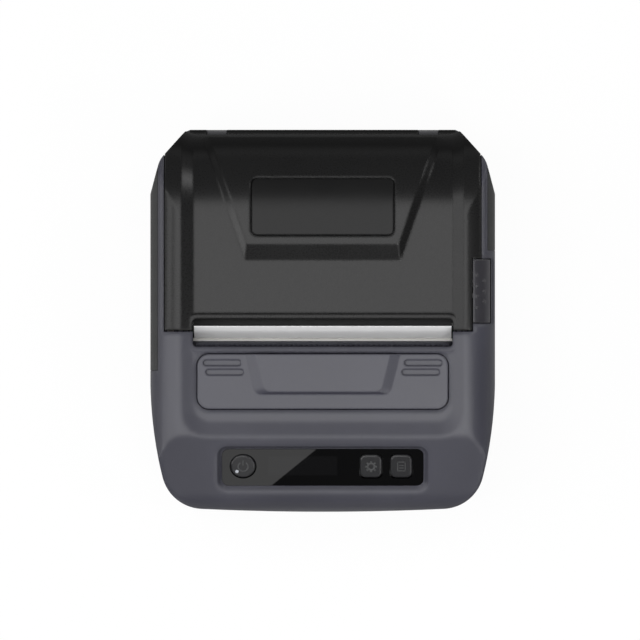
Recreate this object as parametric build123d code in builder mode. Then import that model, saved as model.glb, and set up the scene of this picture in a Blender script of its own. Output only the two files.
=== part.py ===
from build123d import *
import math
import os

# Portable receipt printer for 80 mm paper, lying on its back with its face up.
# Origin at the middle of the footprint. +Z is up, -Y is the control panel's end and +Y the hinge's end.

os.makedirs("parts", exist_ok=True)

# Overall size
case_width = 107.0
case_length = 119.0
case_height = 56.0
half_width = case_width / 2
half_length = case_length / 2

# Clearances
slip_gap = 0.3       # between pieces that move past each other
seat_gap = 0.1       # between pieces fixed in one another
shaft_gap = 0.05     # radial, a shaft in its bearing
seam_gap = 0.4       # between the cover's front edge and the case

# Case shell
wall = 2.0
foot_height = 0.8
split_height = 14.4
shoulder_radius = 9.5
nose_radius = 10.0
crest_radius = 4.0
crest_setback = 23.5     # from the front end to the crest of the front slope
slope_angle = 24.0
rear_roll_radius = 27.0
bottom_draft = 3.0
knee_height = 12.0
knee_radius = 25.0
bottom_edge_radius = 4.0
outline_overrun = 0.03   # how far an outline runs past the one that cuts it there
crest_y = -half_length + crest_setback
roll_start_y = half_length - rear_roll_radius

# Plan outline of the case
front_bow_rise = 1.45
front_bow_draw = 6.5
side_bow_length = 42.5
front_corner_radius = 13.0
rear_cut_draw = 11.3
rear_corner_draw = 2.9
rear_corner_setback = 9.6
rear_side_setback = 20.5
rear_corner_radius = 8.0
rear_cut_radius = 3.0
front_bow_y = -half_length + front_bow_rise
front_bow_x = half_width - front_bow_draw
side_bow_start = -half_length + side_bow_length
rear_flat_x = half_width - rear_cut_draw
rear_corner_x = half_width - rear_corner_draw
rear_corner_y = half_length - rear_corner_setback
rear_side_y = half_length - rear_side_setback

# Paper and its roll
paper_width = 79.8
paper_thickness = 0.12
paper_side_gap = 0.6     # from the paper's edge to the bay's end wall
paper_end_drop = 1.4     # end of the paper below the case's top
roll_radius = 21.0
core_radius = 9.0
core_wall = 1.5

# Recessed field that runs through the cover and the deck
field_depth = 1.6
field_slope_width = 3.8
field_margin = 0.2
field_front_setback = 24.5
field_corner_radius = 9.0
field_floor_x = paper_width / 2 + field_margin
field_edge_x = field_floor_x + field_slope_width
field_front_y = -half_length + field_front_setback
field_floor_z = case_height - field_depth
top_underside = field_depth + wall
cut_margin = 1.0         # how far a cutter runs past what it cuts

# Paper cover and its hinge
cheek_width = 4.5
seam_y = -3.3
skirt_depth = 7.0
bead_radius = 3.2
bead_margin = 1.4
hinge_z = 18.0
hinge_pin_radius = 1.0
knuckle_inset = 8.5
knuckle_width = 6.0
knuckle_notch = 3.8
hinge_neck = 3.0
neck_root = 8.0
cover_half_width = half_width - cheek_width
hinge_y = half_length - bead_radius
bead_half_length = field_floor_x + bead_margin
knuckle_x = bead_half_length - knuckle_inset

# Raised hump and inset plate on the cover
hump_front_y = 18.6
hump_front_x = 24.2
hump_rear_setback = 2.5
hump_flare = 0.345
hump_bevel = 2.2
hump_front_bevel = 5.1
bevel_overrun = 1.12     # how far a bevel runs on below the surface it meets
hump_rear_y = half_length - hump_rear_setback
inset_half_width = 22.3
inset_front_y = 26.2
inset_length = 18.0
inset_corner_radius = 2.0
inset_depth = 1.0
inset_groove = 0.35
inset_sink = 0.15
inset_rear_y = inset_front_y + inset_length

# Paper slot
slot_margin = 0.4
slot_length = 8.6
slot_front_drop = 4.9
slot_rim_width = 1.7
slot_rim_height = 0.5
slot_rim_root = 0.5
slot_corner_radius = 1.2
chute_wall = 1.2
chute_draw = 1.8
chute_depth = 6.4
slot_half_width = paper_width / 2 + slot_margin
slot_front_y = seam_y - slot_front_drop
slot_rear_y = slot_front_y + slot_length
chute_top_z = field_floor_z - slot_rim_root
chute_foot_y = slot_front_y + chute_draw
chute_foot_z = field_floor_z - chute_depth

# Platen, nip and the cover's swing
platen_radius = 5.0
platen_setback = 2.16    # from the seam back to the platen's axis
platen_depth = 13.8      # from the case's top down to the platen's axis
platen_shaft_radius = 2.0
platen_overhang = 0.3    # rubber beyond each edge of the paper
exit_lean = 21.3
platen_y = seam_y + platen_setback
platen_z = case_height - platen_depth
paper_top_z = case_height - paper_end_drop
platen_half_length = paper_width / 2 + platen_overhang
opening_lift = math.degrees(math.atan2(hinge_y - platen_y, platen_z - hinge_z))

# Paper bay, resting on the case's floor in front of the hinge
bay_roll_gap = 1.3
bay_wall = 1.0
bay_hinge_gap = 2.5
bay_radius = roll_radius + bay_roll_gap
bay_half_width = paper_width / 2 + paper_side_gap
bay_z = foot_height + wall + seat_gap + bay_wall + bay_radius
bay_reach = bay_radius + bay_wall
bay_bead_draw = math.sqrt((bay_reach + slip_gap + bead_radius) ** 2 - (bay_z - hinge_z) ** 2)
roll_y = hinge_y - max(bay_hinge_gap + bay_reach, bay_bead_draw)
roll_z = bay_z - bay_radius + roll_radius + slip_gap


def side_outline(inset=0.0):
    """Side view of the case, drawn in from its outer surface by inset."""
    front_y = -half_length - outline_overrun
    nose_z = case_height - (crest_y - front_y) * math.tan(math.radians(slope_angle))
    with BuildSketch(Plane.YZ) as outline:
        with BuildLine():
            FilletPolyline(
                (front_y + bottom_draft, foot_height),
                (front_y, knee_height),
                (front_y, nose_z),
                (crest_y, case_height),
                (half_length, case_height),
                (half_length, knee_height),
                (half_length - bottom_draft, foot_height),
                radius=[bottom_edge_radius, knee_radius, nose_radius, crest_radius,
                        rear_roll_radius, knee_radius, bottom_edge_radius],
                close=True,
            )
        make_face()
        if inset:
            offset(amount=-inset, kind=Kind.INTERSECTION)
    return outline.sketch


def plan_outline(inset=0.0):
    """View from above, with bowed front and sides, soft front corners and cut rear corners."""
    side_x = half_width + outline_overrun
    rear_y = half_length + outline_overrun
    bow_drop = side_x - front_bow_x
    bow_length = side_bow_start - front_bow_y
    bow_radius = (bow_length ** 2 + bow_drop ** 2) / (2 * bow_drop)
    middle_y = side_bow_start - bow_length / 2
    middle_x = side_x - (bow_radius - math.sqrt(bow_radius ** 2 - (bow_length / 2) ** 2))
    with BuildSketch(Plane.XY) as outline:
        with BuildLine() as half:
            Polyline(
                (0, rear_y),
                (rear_flat_x, rear_y),
                (rear_corner_x, rear_corner_y),
                (side_x, rear_side_y),
                (side_x, side_bow_start),
            )
            ThreePointArc((side_x, side_bow_start), (middle_x, middle_y), (front_bow_x, front_bow_y))
            ThreePointArc(
                (front_bow_x, front_bow_y),
                (front_bow_x / 2, -half_length + (front_bow_y + half_length) / 4),
                (0, -half_length),
            )
            mirror(half.line, about=Plane.YZ)
        make_face()
        fillet(outline.vertices().group_by(Axis.Y)[1], front_corner_radius)
        fillet(outline.vertices().filter_by_position(Axis.Y, rear_corner_y - 1, rear_corner_y + 1),
               rear_corner_radius)
        fillet(outline.vertices().group_by(Axis.Y)[-1].filter_by(lambda v: abs(v.X) > 1), rear_cut_radius)
        if inset:
            offset(amount=-inset, kind=Kind.INTERSECTION)
    return outline.sketch


def front_outline(inset=0.0):
    """View from the front, with round shoulders and a foot that draws in."""
    top_z = case_height + outline_overrun
    bottom_z = foot_height - outline_overrun
    with BuildSketch(Plane.XZ) as outline:
        with BuildLine():
            FilletPolyline(
                (-half_width + bottom_draft, bottom_z),
                (-half_width, knee_height),
                (-half_width, top_z),
                (half_width, top_z),
                (half_width, knee_height),
                (half_width - bottom_draft, bottom_z),
                radius=[bottom_edge_radius, knee_radius, shoulder_radius,
                        shoulder_radius, knee_radius, bottom_edge_radius],
                close=True,
            )
        make_face()
        if inset:
            offset(amount=-inset, kind=Kind.INTERSECTION)
    return outline.sketch


def case_volume(inset=0.0):
    """Solid inside the case's surface drawn in by inset: the side, plan and front outlines crossed."""
    with BuildPart() as volume:
        extrude(side_outline(inset), amount=case_width, both=True)
        extrude(front_outline(inset), amount=case_length, both=True, mode=Mode.INTERSECT)
        extrude(plan_outline(inset), amount=2 * case_height, both=True, mode=Mode.INTERSECT)
    return volume.part


def band(depth, top=0.0):
    """Layer of the case's top and rear skin, from top to depth below its side outline."""
    with BuildPart() as layer:
        extrude(side_outline(top), amount=case_width, both=True)
        extrude(side_outline(depth), amount=case_width, both=True, mode=Mode.SUBTRACT)
        with BuildSketch(Plane.XY.offset(split_height)):
            with Locations((0, half_length)):
                Rectangle(2 * case_width, 2 * case_length)
        extrude(amount=2 * case_height, mode=Mode.INTERSECT)
    return layer.part


def slab(x_low, x_high, y_low, y_high, z_low, z_high, mode=Mode.ADD):
    """Box between two corners."""
    size = (x_high - x_low, y_high - y_low, z_high - z_low)
    with Locations(((x_low + x_high) / 2, (y_low + y_high) / 2, (z_low + z_high) / 2)):
        Box(*size, mode=mode)


def rod(radius, x_low, x_high, y, z, mode=Mode.ADD):
    """Round bar along X."""
    with BuildSketch(Plane.YZ.offset(x_low)) as section:
        with Locations((y, z)):
            Circle(radius)
    extrude(section.sketch, amount=x_high - x_low, mode=mode)


def save(piece, name):
    """Label a finished piece and write its file."""
    piece.part.label = name
    export_step(piece.part, f"parts/{name}.step")


outer_volume = case_volume()
wall_volume = case_volume(wall)

# Hollow of the case: thin at the sides, deeper under the recessed top
with BuildPart() as hollow:
    add(wall_volume)
    extrude(side_outline(top_underside), amount=case_width, both=True, mode=Mode.INTERSECT)

# Slanted seat of the control panel, flat on the front slope
panel_setback = 13.4
rim_slope = 42.0
rim_depth = 1.2
rim_ledge = 0.5
panel_width = 62.4
panel_length = 12.4
panel_thickness = 1.5
panel_corner_radius = 2.2
panel_ledge = 1.0        # of the case, behind each long edge of the panel
window_inset = 0.3       # more of it, behind each short edge
panel_y = -half_length + panel_setback
slope_rad = math.radians(slope_angle)
panel_z = case_height - (crest_y - panel_y) * math.tan(slope_rad)
panel_plane = Plane(
    origin=(0, panel_y, panel_z),
    x_dir=(1, 0, 0),
    z_dir=(0, -math.sin(slope_rad), math.cos(slope_rad)),
)

# Release button on the right shoulder
button_draw = 1.6        # from the side wall in to the button
button_width = 5.3
button_length = 19.6
button_setback = 2.6     # from the seam back to the button
button_depth = 8.5
button_travel = 1.2
button_high_x = half_width - button_draw
button_low_x = button_high_x - button_width
button_low_y = seam_y + button_setback
button_high_y = button_low_y + button_length
button_base_z = case_height - button_depth

# Grip strips on the cheeks
strip_draw = 2.3
strip_thickness = 1.1
strip_base_z = 22.0
strip_slant = 7.0
strip_left_front_y = -15.5
strip_right_front_y = 21.8
strip_rear_setback = 12.0
strip_inner_x = half_width - strip_draw
strip_rear_y = half_length - strip_rear_setback

# Deck panel between the slot and the front of the field
deck_margin = 0.9
deck_seat_gap = 0.2
deck_front_setback = 7.2
deck_corner_radius = 4.0
deck_thickness = 1.2
deck_groove = 0.35
deck_half_width = field_floor_x - deck_margin
deck_rear_y = slot_front_y - slot_rim_width - deck_seat_gap
deck_front_y = field_front_y + deck_front_setback

# Fasteners and feet
case_screw_draw = 8.5
case_screw_setback = 21.5
case_boss_radius = 3.2
case_boss_height = 15.6
screw_radius = 1.3
screw_head_radius = 2.4
screw_head_height = 1.6
screw_sink = 1.0
screw_bite = 10.0
rib_thickness = 2.0
rib_bite = 0.75          # share of the wall that a rib runs into
foot_radius = 4.0
foot_seat = 0.6
foot_bevel = 0.4
foot_draw = 13.5
foot_setback = 10.0
case_screw_x = half_width - case_screw_draw
case_screw_front_y = -half_length + case_screw_setback
case_screw_rear_y = half_length - case_screw_setback
case_boss_top = split_height + case_boss_height
foot_x = half_width - foot_draw
foot_y = half_length - foot_setback

# Battery under the front half
battery_width = 60.0
battery_length = 37.0
battery_height = 18.4
battery_setback = 6.5
battery_edge_radius = 6.0
battery_side_room = 3.0
battery_cover_margin = 2.0
ledge_width = 2.0
ledge_thickness = 1.2
thumb_groove_count = 5
thumb_groove_pitch = 1.6
thumb_groove_length = 16.0
thumb_groove_width = 0.8
thumb_groove_depth = 0.5
thumb_groove_setback = 5.0
battery_half_width = battery_width / 2 + battery_side_room
battery_front_y = -half_length + battery_setback
battery_rear_y = battery_front_y + battery_length
battery_top_z = foot_height + wall + slip_gap + battery_height

# Mechanism frame's side plates and its feet, and the posts under them
sheet = 1.2              # of the frame, the cover's bracket and the lever
frame_side_gap = 3.3
frame_depth = 16.2       # from the platen's axis down to the frame's base
frame_post_draw = 2.9
frame_foot_reach = 5.5
frame_foot_length = 6.0
frame_post_front_y = -16.0
frame_post_rear_y = 10.0
frame_post_radius = 2.5
frame_screw_radius = 1.0
frame_screw_bite = 4.0
frame_plate_x = platen_half_length + frame_side_gap
frame_post_x = frame_plate_x + frame_post_draw

# Circuit board over the battery, and the charging socket at its left edge
board_lift = 1.5
main_board_thickness = 1.6
board_foot_gap = 2.9     # from the board's edge to the posts of the mechanism's frame
board_length = 29.5
board_setback = 28.5
board_post_inset = 3.0
board_post_rear_inset = 2.5
board_post_radius = 2.0
usb_width = 9.0
usb_height = 3.2
usb_setback = 7.0        # from the board's front edge to the socket's middle
socket_recess = 0.6
socket_length = 7.7
socket_wall = 0.4
board_z = battery_top_z + board_lift
board_top_z = board_z + main_board_thickness
board_front_y = -half_length + board_setback
board_rear_y = board_front_y + board_length
board_half_width = frame_post_x - frame_post_radius - board_foot_gap
board_post_x = board_half_width - board_post_inset
board_post_front_y = board_front_y + board_post_inset
board_post_rear_y = board_rear_y - board_post_rear_inset
usb_y = board_front_y + usb_setback
usb_z = board_top_z + seat_gap + usb_height / 2
socket_low_x = -half_width + socket_recess
socket_high_x = socket_low_x + socket_length

frame_foot_x = frame_plate_x + frame_foot_reach
frame_base_z = platen_z - frame_depth
plate_out = frame_plate_x + sheet
strip_shell = case_volume(strip_thickness)
strip_floor = case_volume(strip_thickness + seat_gap)


def side_draw(y):
    """How far the bowed side wall draws in at y."""
    if y > side_bow_start:
        return 0.0
    bow_drop = half_width - front_bow_x
    bow_length = side_bow_start - front_bow_y
    bow_radius = (bow_length ** 2 + bow_drop ** 2) / (2 * bow_drop)
    return bow_radius - math.sqrt(bow_radius ** 2 - (side_bow_start - y) ** 2)


def strip_side(front_y, grow):
    """Side view of a grip strip, with a slanted front end, grown all round by grow."""
    with BuildSketch(Plane.YZ) as side:
        with BuildLine():
            Polyline(
                (front_y - grow, case_height),
                (front_y - grow, strip_base_z + strip_slant),
                (front_y + strip_slant - grow, strip_base_z - grow),
                (strip_rear_y + grow, strip_base_z - grow),
                (strip_rear_y + grow, case_height),
                close=True,
            )
        make_face()
    return side.sketch


def field_sweep(start_y):
    """Cutter with sloping sides that follows the top and the rear roll, from start_y backwards."""
    with BuildPart() as cutter:
        with BuildLine() as route:
            FilletPolyline(
                (0, start_y, case_height),
                (0, half_length, case_height),
                (0, half_length, hinge_z - bead_radius - cut_margin),
                radius=rear_roll_radius,
            )
        with BuildSketch(Plane.XZ.offset(-start_y)) as section:
            with BuildLine():
                Polyline(
                    (-field_floor_x, field_floor_z),
                    (field_floor_x, field_floor_z),
                    (field_edge_x, case_height),
                    (field_edge_x, case_height + cut_margin),
                    (-field_edge_x, case_height + cut_margin),
                    (-field_edge_x, case_height),
                    close=True,
                )
            make_face()
        sweep(path=route.wire())
    return cutter.part


def inset_layer(depth, half_width_x, corner_radius, margin_y):
    """Rounded patch of the cover's top skin where the inset plate lies."""
    with BuildPart() as patch:
        add(band(depth))
        with BuildSketch(Plane.XY):
            with Locations((0, (inset_front_y + inset_rear_y) / 2)):
                RectangleRounded(2 * half_width_x, inset_rear_y - inset_front_y - 2 * margin_y,
                                 corner_radius)
        extrude(amount=2 * case_height, mode=Mode.INTERSECT)
    return patch.part


def slot_ring(low_y, high_y):
    """Raised rim of the paper slot, the stretch between low_y and high_y."""
    middle_y = (slot_rear_y + slot_front_y) / 2
    length = slot_rear_y - slot_front_y
    with BuildPart() as ring:
        with BuildSketch(Plane.XY.offset(chute_top_z)):
            with Locations((0, middle_y)):
                RectangleRounded(
                    2 * (slot_half_width + slot_rim_width),
                    length + 2 * slot_rim_width,
                    slot_corner_radius + slot_rim_width,
                )
                RectangleRounded(2 * slot_half_width, length, slot_corner_radius, mode=Mode.SUBTRACT)
        extrude(amount=slot_rim_height + slot_rim_root)
        chamfer(ring.faces().sort_by(Axis.Z)[-1].edges(), slot_rim_height / 2)
        slab(-case_width, case_width, low_y, high_y, 0, 2 * case_height, mode=Mode.INTERSECT)
    return ring.part


# Paper cover: recessed skin with side skirts, rolled over the paper and beaded round the hinge pin
with BuildPart() as hump:
    add(band(2 * field_depth))
    with BuildSketch(Plane.XY) as hump_plan:
        toe_y = hump_front_y - (bevel_overrun - 1) * hump_front_bevel
        rear_x = hump_front_x + (hump_rear_y - toe_y) * hump_flare
        with BuildLine():
            Polyline(
                (-hump_front_x, toe_y),
                (hump_front_x, toe_y),
                (rear_x, hump_rear_y),
                (-rear_x, hump_rear_y),
                close=True,
            )
        make_face()
    extrude(amount=case_height + cut_margin, mode=Mode.INTERSECT)
    top_face = hump.faces().filter_by(Axis.Z).sort_by(Axis.Z)[-1]
    flanks = top_face.edges().filter_by(lambda e: abs(e.center().X) > hump_front_x / 2)
    chamfer(flanks, bevel_overrun * hump_bevel, bevel_overrun * field_depth, reference=top_face)
    # Long slope at the hump's front
    with BuildSketch(Plane.YZ) as front_slope:
        with BuildLine():
            Polyline(
                (hump_front_y - hump_front_bevel, field_floor_z - field_depth),
                (hump_front_y + 2 * hump_front_bevel, field_floor_z + 2 * field_depth),
                (hump_front_y - hump_front_bevel, field_floor_z + 2 * field_depth),
                close=True,
            )
        make_face()
    extrude(front_slope.sketch, amount=case_width, both=True, mode=Mode.SUBTRACT)

cover_field = field_sweep(slot_front_y)
cover_rim = slot_ring(seam_y + seam_gap / 2, case_length)
case_rim = slot_ring(-case_length, seam_y - seam_gap / 2)
inset_seat = inset_layer(inset_depth, inset_half_width, inset_corner_radius, 0)
inset_blank = inset_layer(inset_depth, inset_half_width - inset_groove, inset_corner_radius - inset_groove,
                          inset_groove)
inset_skim = inset_layer(inset_sink, inset_half_width + cut_margin, inset_corner_radius, -cut_margin)
with BuildPart() as paper_cover:
    add(outer_volume)
    slab(-cover_half_width, cover_half_width, seam_y + seam_gap / 2, case_length, split_height,
         2 * case_height,
         mode=Mode.INTERSECT)
    extrude(side_outline(skirt_depth), amount=case_width, both=True, mode=Mode.SUBTRACT)
    extrude(side_outline(top_underside), amount=cover_half_width - wall, both=True, mode=Mode.SUBTRACT)
    slab(-case_width, case_width, -case_length, case_length, 0, hinge_z, mode=Mode.SUBTRACT)
    add(cover_field, mode=Mode.SUBTRACT)
    add(hump)
    rod(bead_radius, -bead_half_length, bead_half_length, hinge_y, hinge_z)
    # Gaps round the two knuckles of the lower case, and the pin's bore
    for side in (-1, 1):
        slab(side * knuckle_x - knuckle_width / 2 - slip_gap,
             side * knuckle_x + knuckle_width / 2 + slip_gap,
             hinge_y - bead_radius - cut_margin, case_length, split_height, hinge_z + knuckle_notch,
             mode=Mode.SUBTRACT)
    rod(hinge_pin_radius + shaft_gap, -case_width, case_width, hinge_y, hinge_z, mode=Mode.SUBTRACT)
    # Mouth of the paper slot and its half of the rim
    slab(-slot_half_width, slot_half_width, -case_length, slot_rear_y, split_height,
         case_height + cut_margin,
         mode=Mode.SUBTRACT)
    add(cover_rim)
    # Seat of the inset plate, and room for the release button
    add(inset_seat, mode=Mode.SUBTRACT)
    slab(button_low_x - slip_gap, case_width, -case_length, button_high_y + slip_gap, split_height,
         2 * case_height,
         mode=Mode.SUBTRACT)
save(paper_cover, "paper_cover")

# Inset plate on the hump, let in flush with a fine groove round it
with BuildPart() as cover_inset:
    add(inset_blank)
    add(inset_skim, mode=Mode.SUBTRACT)
save(cover_inset, "cover_inset")

# Grip strips let into the cheeks, and the beds they lie in
with BuildPart() as side_strip_left:
    add(outer_volume)
    add(strip_shell, mode=Mode.SUBTRACT)
    extrude(strip_side(strip_left_front_y, 0), amount=-case_width, mode=Mode.INTERSECT)
    slab(-case_width, -strip_inner_x, -case_length, case_length, 0, 2 * case_height, mode=Mode.INTERSECT)
save(side_strip_left, "side_strip_left")

with BuildPart() as side_strip_right:
    add(outer_volume)
    add(strip_shell, mode=Mode.SUBTRACT)
    extrude(strip_side(strip_right_front_y, 0), amount=case_width, mode=Mode.INTERSECT)
    slab(strip_inner_x, case_width, -case_length, case_length, 0, 2 * case_height, mode=Mode.INTERSECT)
save(side_strip_right, "side_strip_right")


def strip_bed(front_y, side):
    """Space cut in a cheek for its strip, open to the outside."""
    with BuildPart() as bed:
        extrude(strip_side(front_y, seat_gap), amount=side * case_width)
        add(strip_floor, mode=Mode.SUBTRACT)
        low, high = sorted((side * (strip_inner_x - seat_gap), side * case_width))
        slab(low, high, -case_length, case_length, 0, 2 * case_height, mode=Mode.INTERSECT)
    return bed.part


left_bed = strip_bed(strip_left_front_y, -1)
right_bed = strip_bed(strip_right_front_y, 1)

# Section of the paper slot's slanted front wall
with BuildSketch(Plane.YZ) as chute:
    with BuildLine():
        Polyline(
            (slot_front_y - chute_wall, chute_top_z),
            (slot_front_y, chute_top_z),
            (chute_foot_y, chute_foot_z),
            (chute_foot_y - chute_wall, chute_foot_z),
            close=True,
        )
    make_face()

# Upper case: deck, front slope and the two cheeks beside the cover
with BuildPart() as upper_case:
    add(outer_volume)
    add(hollow, mode=Mode.SUBTRACT)
    slab(-case_width, case_width, -case_length, case_length, 0, split_height, mode=Mode.SUBTRACT)
    # Opening for the cover, narrower in front of the release button where the cover is notched
    slab(-cover_half_width - slip_gap, button_low_x, seam_y - seam_gap / 2, case_length, 0, 2 * case_height,
         mode=Mode.SUBTRACT)
    slab(0, cover_half_width + slip_gap, button_low_y - slip_gap, case_length, 0, 2 * case_height,
         mode=Mode.SUBTRACT)
    # Front of the recessed field, sloping all round
    with BuildSketch(Plane.XY.offset(field_floor_z)):
        with Locations((0, field_front_y + field_slope_width + case_length / 2)):
            RectangleRounded(2 * field_floor_x, case_length, field_corner_radius - field_slope_width)
    with BuildSketch(Plane.XY.offset(case_height + outline_overrun)):
        with Locations((0, field_front_y + case_length / 2)):
            RectangleRounded(2 * field_edge_x, case_length + field_slope_width, field_corner_radius)
    loft(ruled=True, mode=Mode.SUBTRACT)
    # Seat of the deck panel
    with BuildSketch(Plane.XY.offset(field_floor_z - deck_thickness)):
        with Locations((0, (deck_front_y + deck_rear_y) / 2)):
            RectangleRounded(2 * deck_half_width, deck_rear_y - deck_front_y, deck_corner_radius)
    extrude(amount=case_height, mode=Mode.SUBTRACT)
    # Paper slot
    slab(-slot_half_width, slot_half_width, slot_front_y, case_length, split_height,
         case_height + cut_margin,
         mode=Mode.SUBTRACT)
    extrude(chute.sketch, amount=slot_half_width, both=True)
    add(case_rim)
    # Control panel: sloping rim, seat and a window for the keys and the display
    with BuildSketch(panel_plane.offset(-rim_depth)):
        RectangleRounded(panel_width + 2 * rim_ledge, panel_length + 2 * rim_ledge, panel_corner_radius)
    extrude(amount=2 * rim_depth, taper=-rim_slope, mode=Mode.SUBTRACT)
    with BuildSketch(panel_plane.offset(-rim_depth)):
        RectangleRounded(panel_width + 2 * seat_gap, panel_length + 2 * seat_gap, panel_corner_radius)
    extrude(amount=-panel_thickness, mode=Mode.SUBTRACT)
    with BuildSketch(panel_plane):
        Rectangle(panel_width - 2 * panel_ledge - 2 * window_inset, panel_length - 2 * panel_ledge)
    extrude(amount=-2 * top_underside, mode=Mode.SUBTRACT)
    add(left_bed, mode=Mode.SUBTRACT)
    add(right_bed, mode=Mode.SUBTRACT)
    # Bosses that the case screws reach, each tied to the side wall
    for side in (-1, 1):
        for screw_y in (case_screw_front_y, case_screw_rear_y):
            with Locations((side * case_screw_x, screw_y, split_height)):
                Cylinder(case_boss_radius, case_boss_height, align=(Align.CENTER, Align.CENTER, Align.MIN))
            reach = half_width - rib_bite * wall - side_draw(screw_y)
            slab(min(side * case_screw_x, side * reach), max(side * case_screw_x, side * reach),
                 screw_y - rib_thickness / 2, screw_y + rib_thickness / 2, split_height, case_boss_top)
            with Locations((side * case_screw_x, screw_y, split_height)):
                Cylinder(screw_radius, 2 * screw_bite, mode=Mode.SUBTRACT)
    # Way out for the charging socket
    slab(-case_width, -case_screw_x, usb_y - usb_width / 2 - seat_gap, usb_y + usb_width / 2 + seat_gap,
         usb_z - usb_height / 2 - seat_gap, usb_z + usb_height / 2 + seat_gap, mode=Mode.SUBTRACT)
    # Opening of the release button in the right cheek
    slab(button_low_x - slip_gap, button_high_x + slip_gap, button_low_y - slip_gap,
         button_high_y + slip_gap,
         button_base_z - button_travel - slip_gap, 2 * case_height, mode=Mode.SUBTRACT)
save(upper_case, "upper_case")

# Lower case: tray with the rear wall, the hinge knuckles and the battery bay
battery_cover_x = battery_half_width + battery_cover_margin
battery_cover_rear_y = battery_rear_y + battery_cover_margin
battery_cover_front_y = battery_front_y - battery_cover_margin
floor_middle_z = foot_height + wall / 2
with BuildPart() as lower_case:
    add(outer_volume)
    add(wall_volume, mode=Mode.SUBTRACT)
    slab(-case_width, case_width, -case_length, case_length, split_height, 2 * case_height,
         mode=Mode.SUBTRACT)
    for side in (-1, 1):
        # Knuckle on a neck that stands on the rear wall
        low, high = side * knuckle_x - knuckle_width / 2, side * knuckle_x + knuckle_width / 2
        rod(hinge_neck, low, high, hinge_y, hinge_z)
        slab(low, high, hinge_y - hinge_neck, hinge_y + hinge_neck, split_height - neck_root, hinge_z)
        for screw_y in (case_screw_front_y, case_screw_rear_y):
            with Locations((side * case_screw_x, screw_y, floor_middle_z)):
                Cylinder(case_boss_radius, split_height - floor_middle_z,
                         align=(Align.CENTER, Align.CENTER, Align.MIN))
    rod(hinge_pin_radius + shaft_gap, -case_width, case_width, hinge_y, hinge_z, mode=Mode.SUBTRACT)
    slab(-battery_cover_x, battery_cover_x, battery_cover_front_y, battery_cover_rear_y, 0,
         foot_height + wall,
         mode=Mode.SUBTRACT)
    # Ledges that the battery cover rests on
    for side in (-1, 1):
        low, high = sorted((side * (battery_cover_x - ledge_width), side * (battery_cover_x + wall)))
        slab(low, high, battery_cover_front_y - wall, battery_cover_rear_y + wall, foot_height + wall,
             foot_height + wall + ledge_thickness)
    for side in (-1, 1):
        for screw_y in (case_screw_front_y, case_screw_rear_y):
            with Locations((side * case_screw_x, screw_y, 0)):
                Cylinder(screw_radius + seat_gap, 4 * case_height, mode=Mode.SUBTRACT)
            with Locations((side * case_screw_x, screw_y, 0)):
                Cylinder(screw_head_radius + seat_gap, foot_height + screw_sink + screw_head_height,
                         align=(Align.CENTER, Align.CENTER, Align.MIN), mode=Mode.SUBTRACT)
        for seat_y in (-foot_y, foot_y):
            with Locations((side * foot_x, seat_y, 0)):
                Cylinder(foot_radius + seat_gap, foot_height + foot_seat,
                         align=(Align.CENTER, Align.CENTER, Align.MIN), mode=Mode.SUBTRACT)
    # Posts under the mechanism and the circuit board
    for side in (-1, 1):
        for post_y in (frame_post_front_y, frame_post_rear_y):
            with Locations((side * frame_post_x, post_y, floor_middle_z)):
                Cylinder(frame_post_radius, frame_base_z - floor_middle_z,
                         align=(Align.CENTER, Align.CENTER, Align.MIN))
            with Locations((side * frame_post_x, post_y, frame_base_z)):
                Cylinder(frame_screw_radius, frame_screw_bite,
                         align=(Align.CENTER, Align.CENTER, Align.MAX),
                         mode=Mode.SUBTRACT)
        for post_y in (board_post_front_y, board_post_rear_y):
            with Locations((side * board_post_x, post_y, floor_middle_z)):
                Cylinder(board_post_radius, board_z - floor_middle_z,
                         align=(Align.CENTER, Align.CENTER, Align.MIN))
save(lower_case, "lower_case")

# Screws from below, into the upper case's bosses
with BuildPart() as case_screws:
    head_z = foot_height + screw_sink
    for side in (-1, 1):
        for screw_y in (case_screw_front_y, case_screw_rear_y):
            with Locations((side * case_screw_x, screw_y, head_z)):
                Cylinder(screw_head_radius, screw_head_height,
                         align=(Align.CENTER, Align.CENTER, Align.MIN))
                Cylinder(screw_radius - shaft_gap, split_height + screw_bite - head_z - cut_margin,
                         align=(Align.CENTER, Align.CENTER, Align.MIN))
save(case_screws, "case_screws")

with BuildPart() as rubber_feet:
    with Locations(*[(x, y, 0) for x in (-foot_x, foot_x) for y in (-foot_y, foot_y)]):
        Cylinder(foot_radius, foot_height + foot_seat, align=(Align.CENTER, Align.CENTER, Align.MIN))
    chamfer(rubber_feet.faces().filter_by(Axis.Z).group_by(Axis.Z)[0].edges(), foot_bevel)
save(rubber_feet, "rubber_feet")

with BuildPart() as battery_cover:
    slab(-battery_cover_x + slip_gap, battery_cover_x - slip_gap, battery_cover_front_y + slip_gap,
         battery_cover_rear_y - slip_gap, foot_height, foot_height + wall)
    # Thumb grooves across the catch
    for groove in range(thumb_groove_count):
        with Locations((0, battery_cover_front_y + thumb_groove_setback + groove * thumb_groove_pitch,
                        foot_height)):
            Box(thumb_groove_length, thumb_groove_width, 2 * thumb_groove_depth, mode=Mode.SUBTRACT)
save(battery_cover, "battery_cover")

with BuildPart() as battery_pack:
    slab(-battery_width / 2, battery_width / 2, battery_front_y, battery_rear_y,
         battery_top_z - battery_height,
         battery_top_z)
    fillet(battery_pack.edges().filter_by(Axis.X), battery_edge_radius)
save(battery_pack, "battery_pack")

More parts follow.
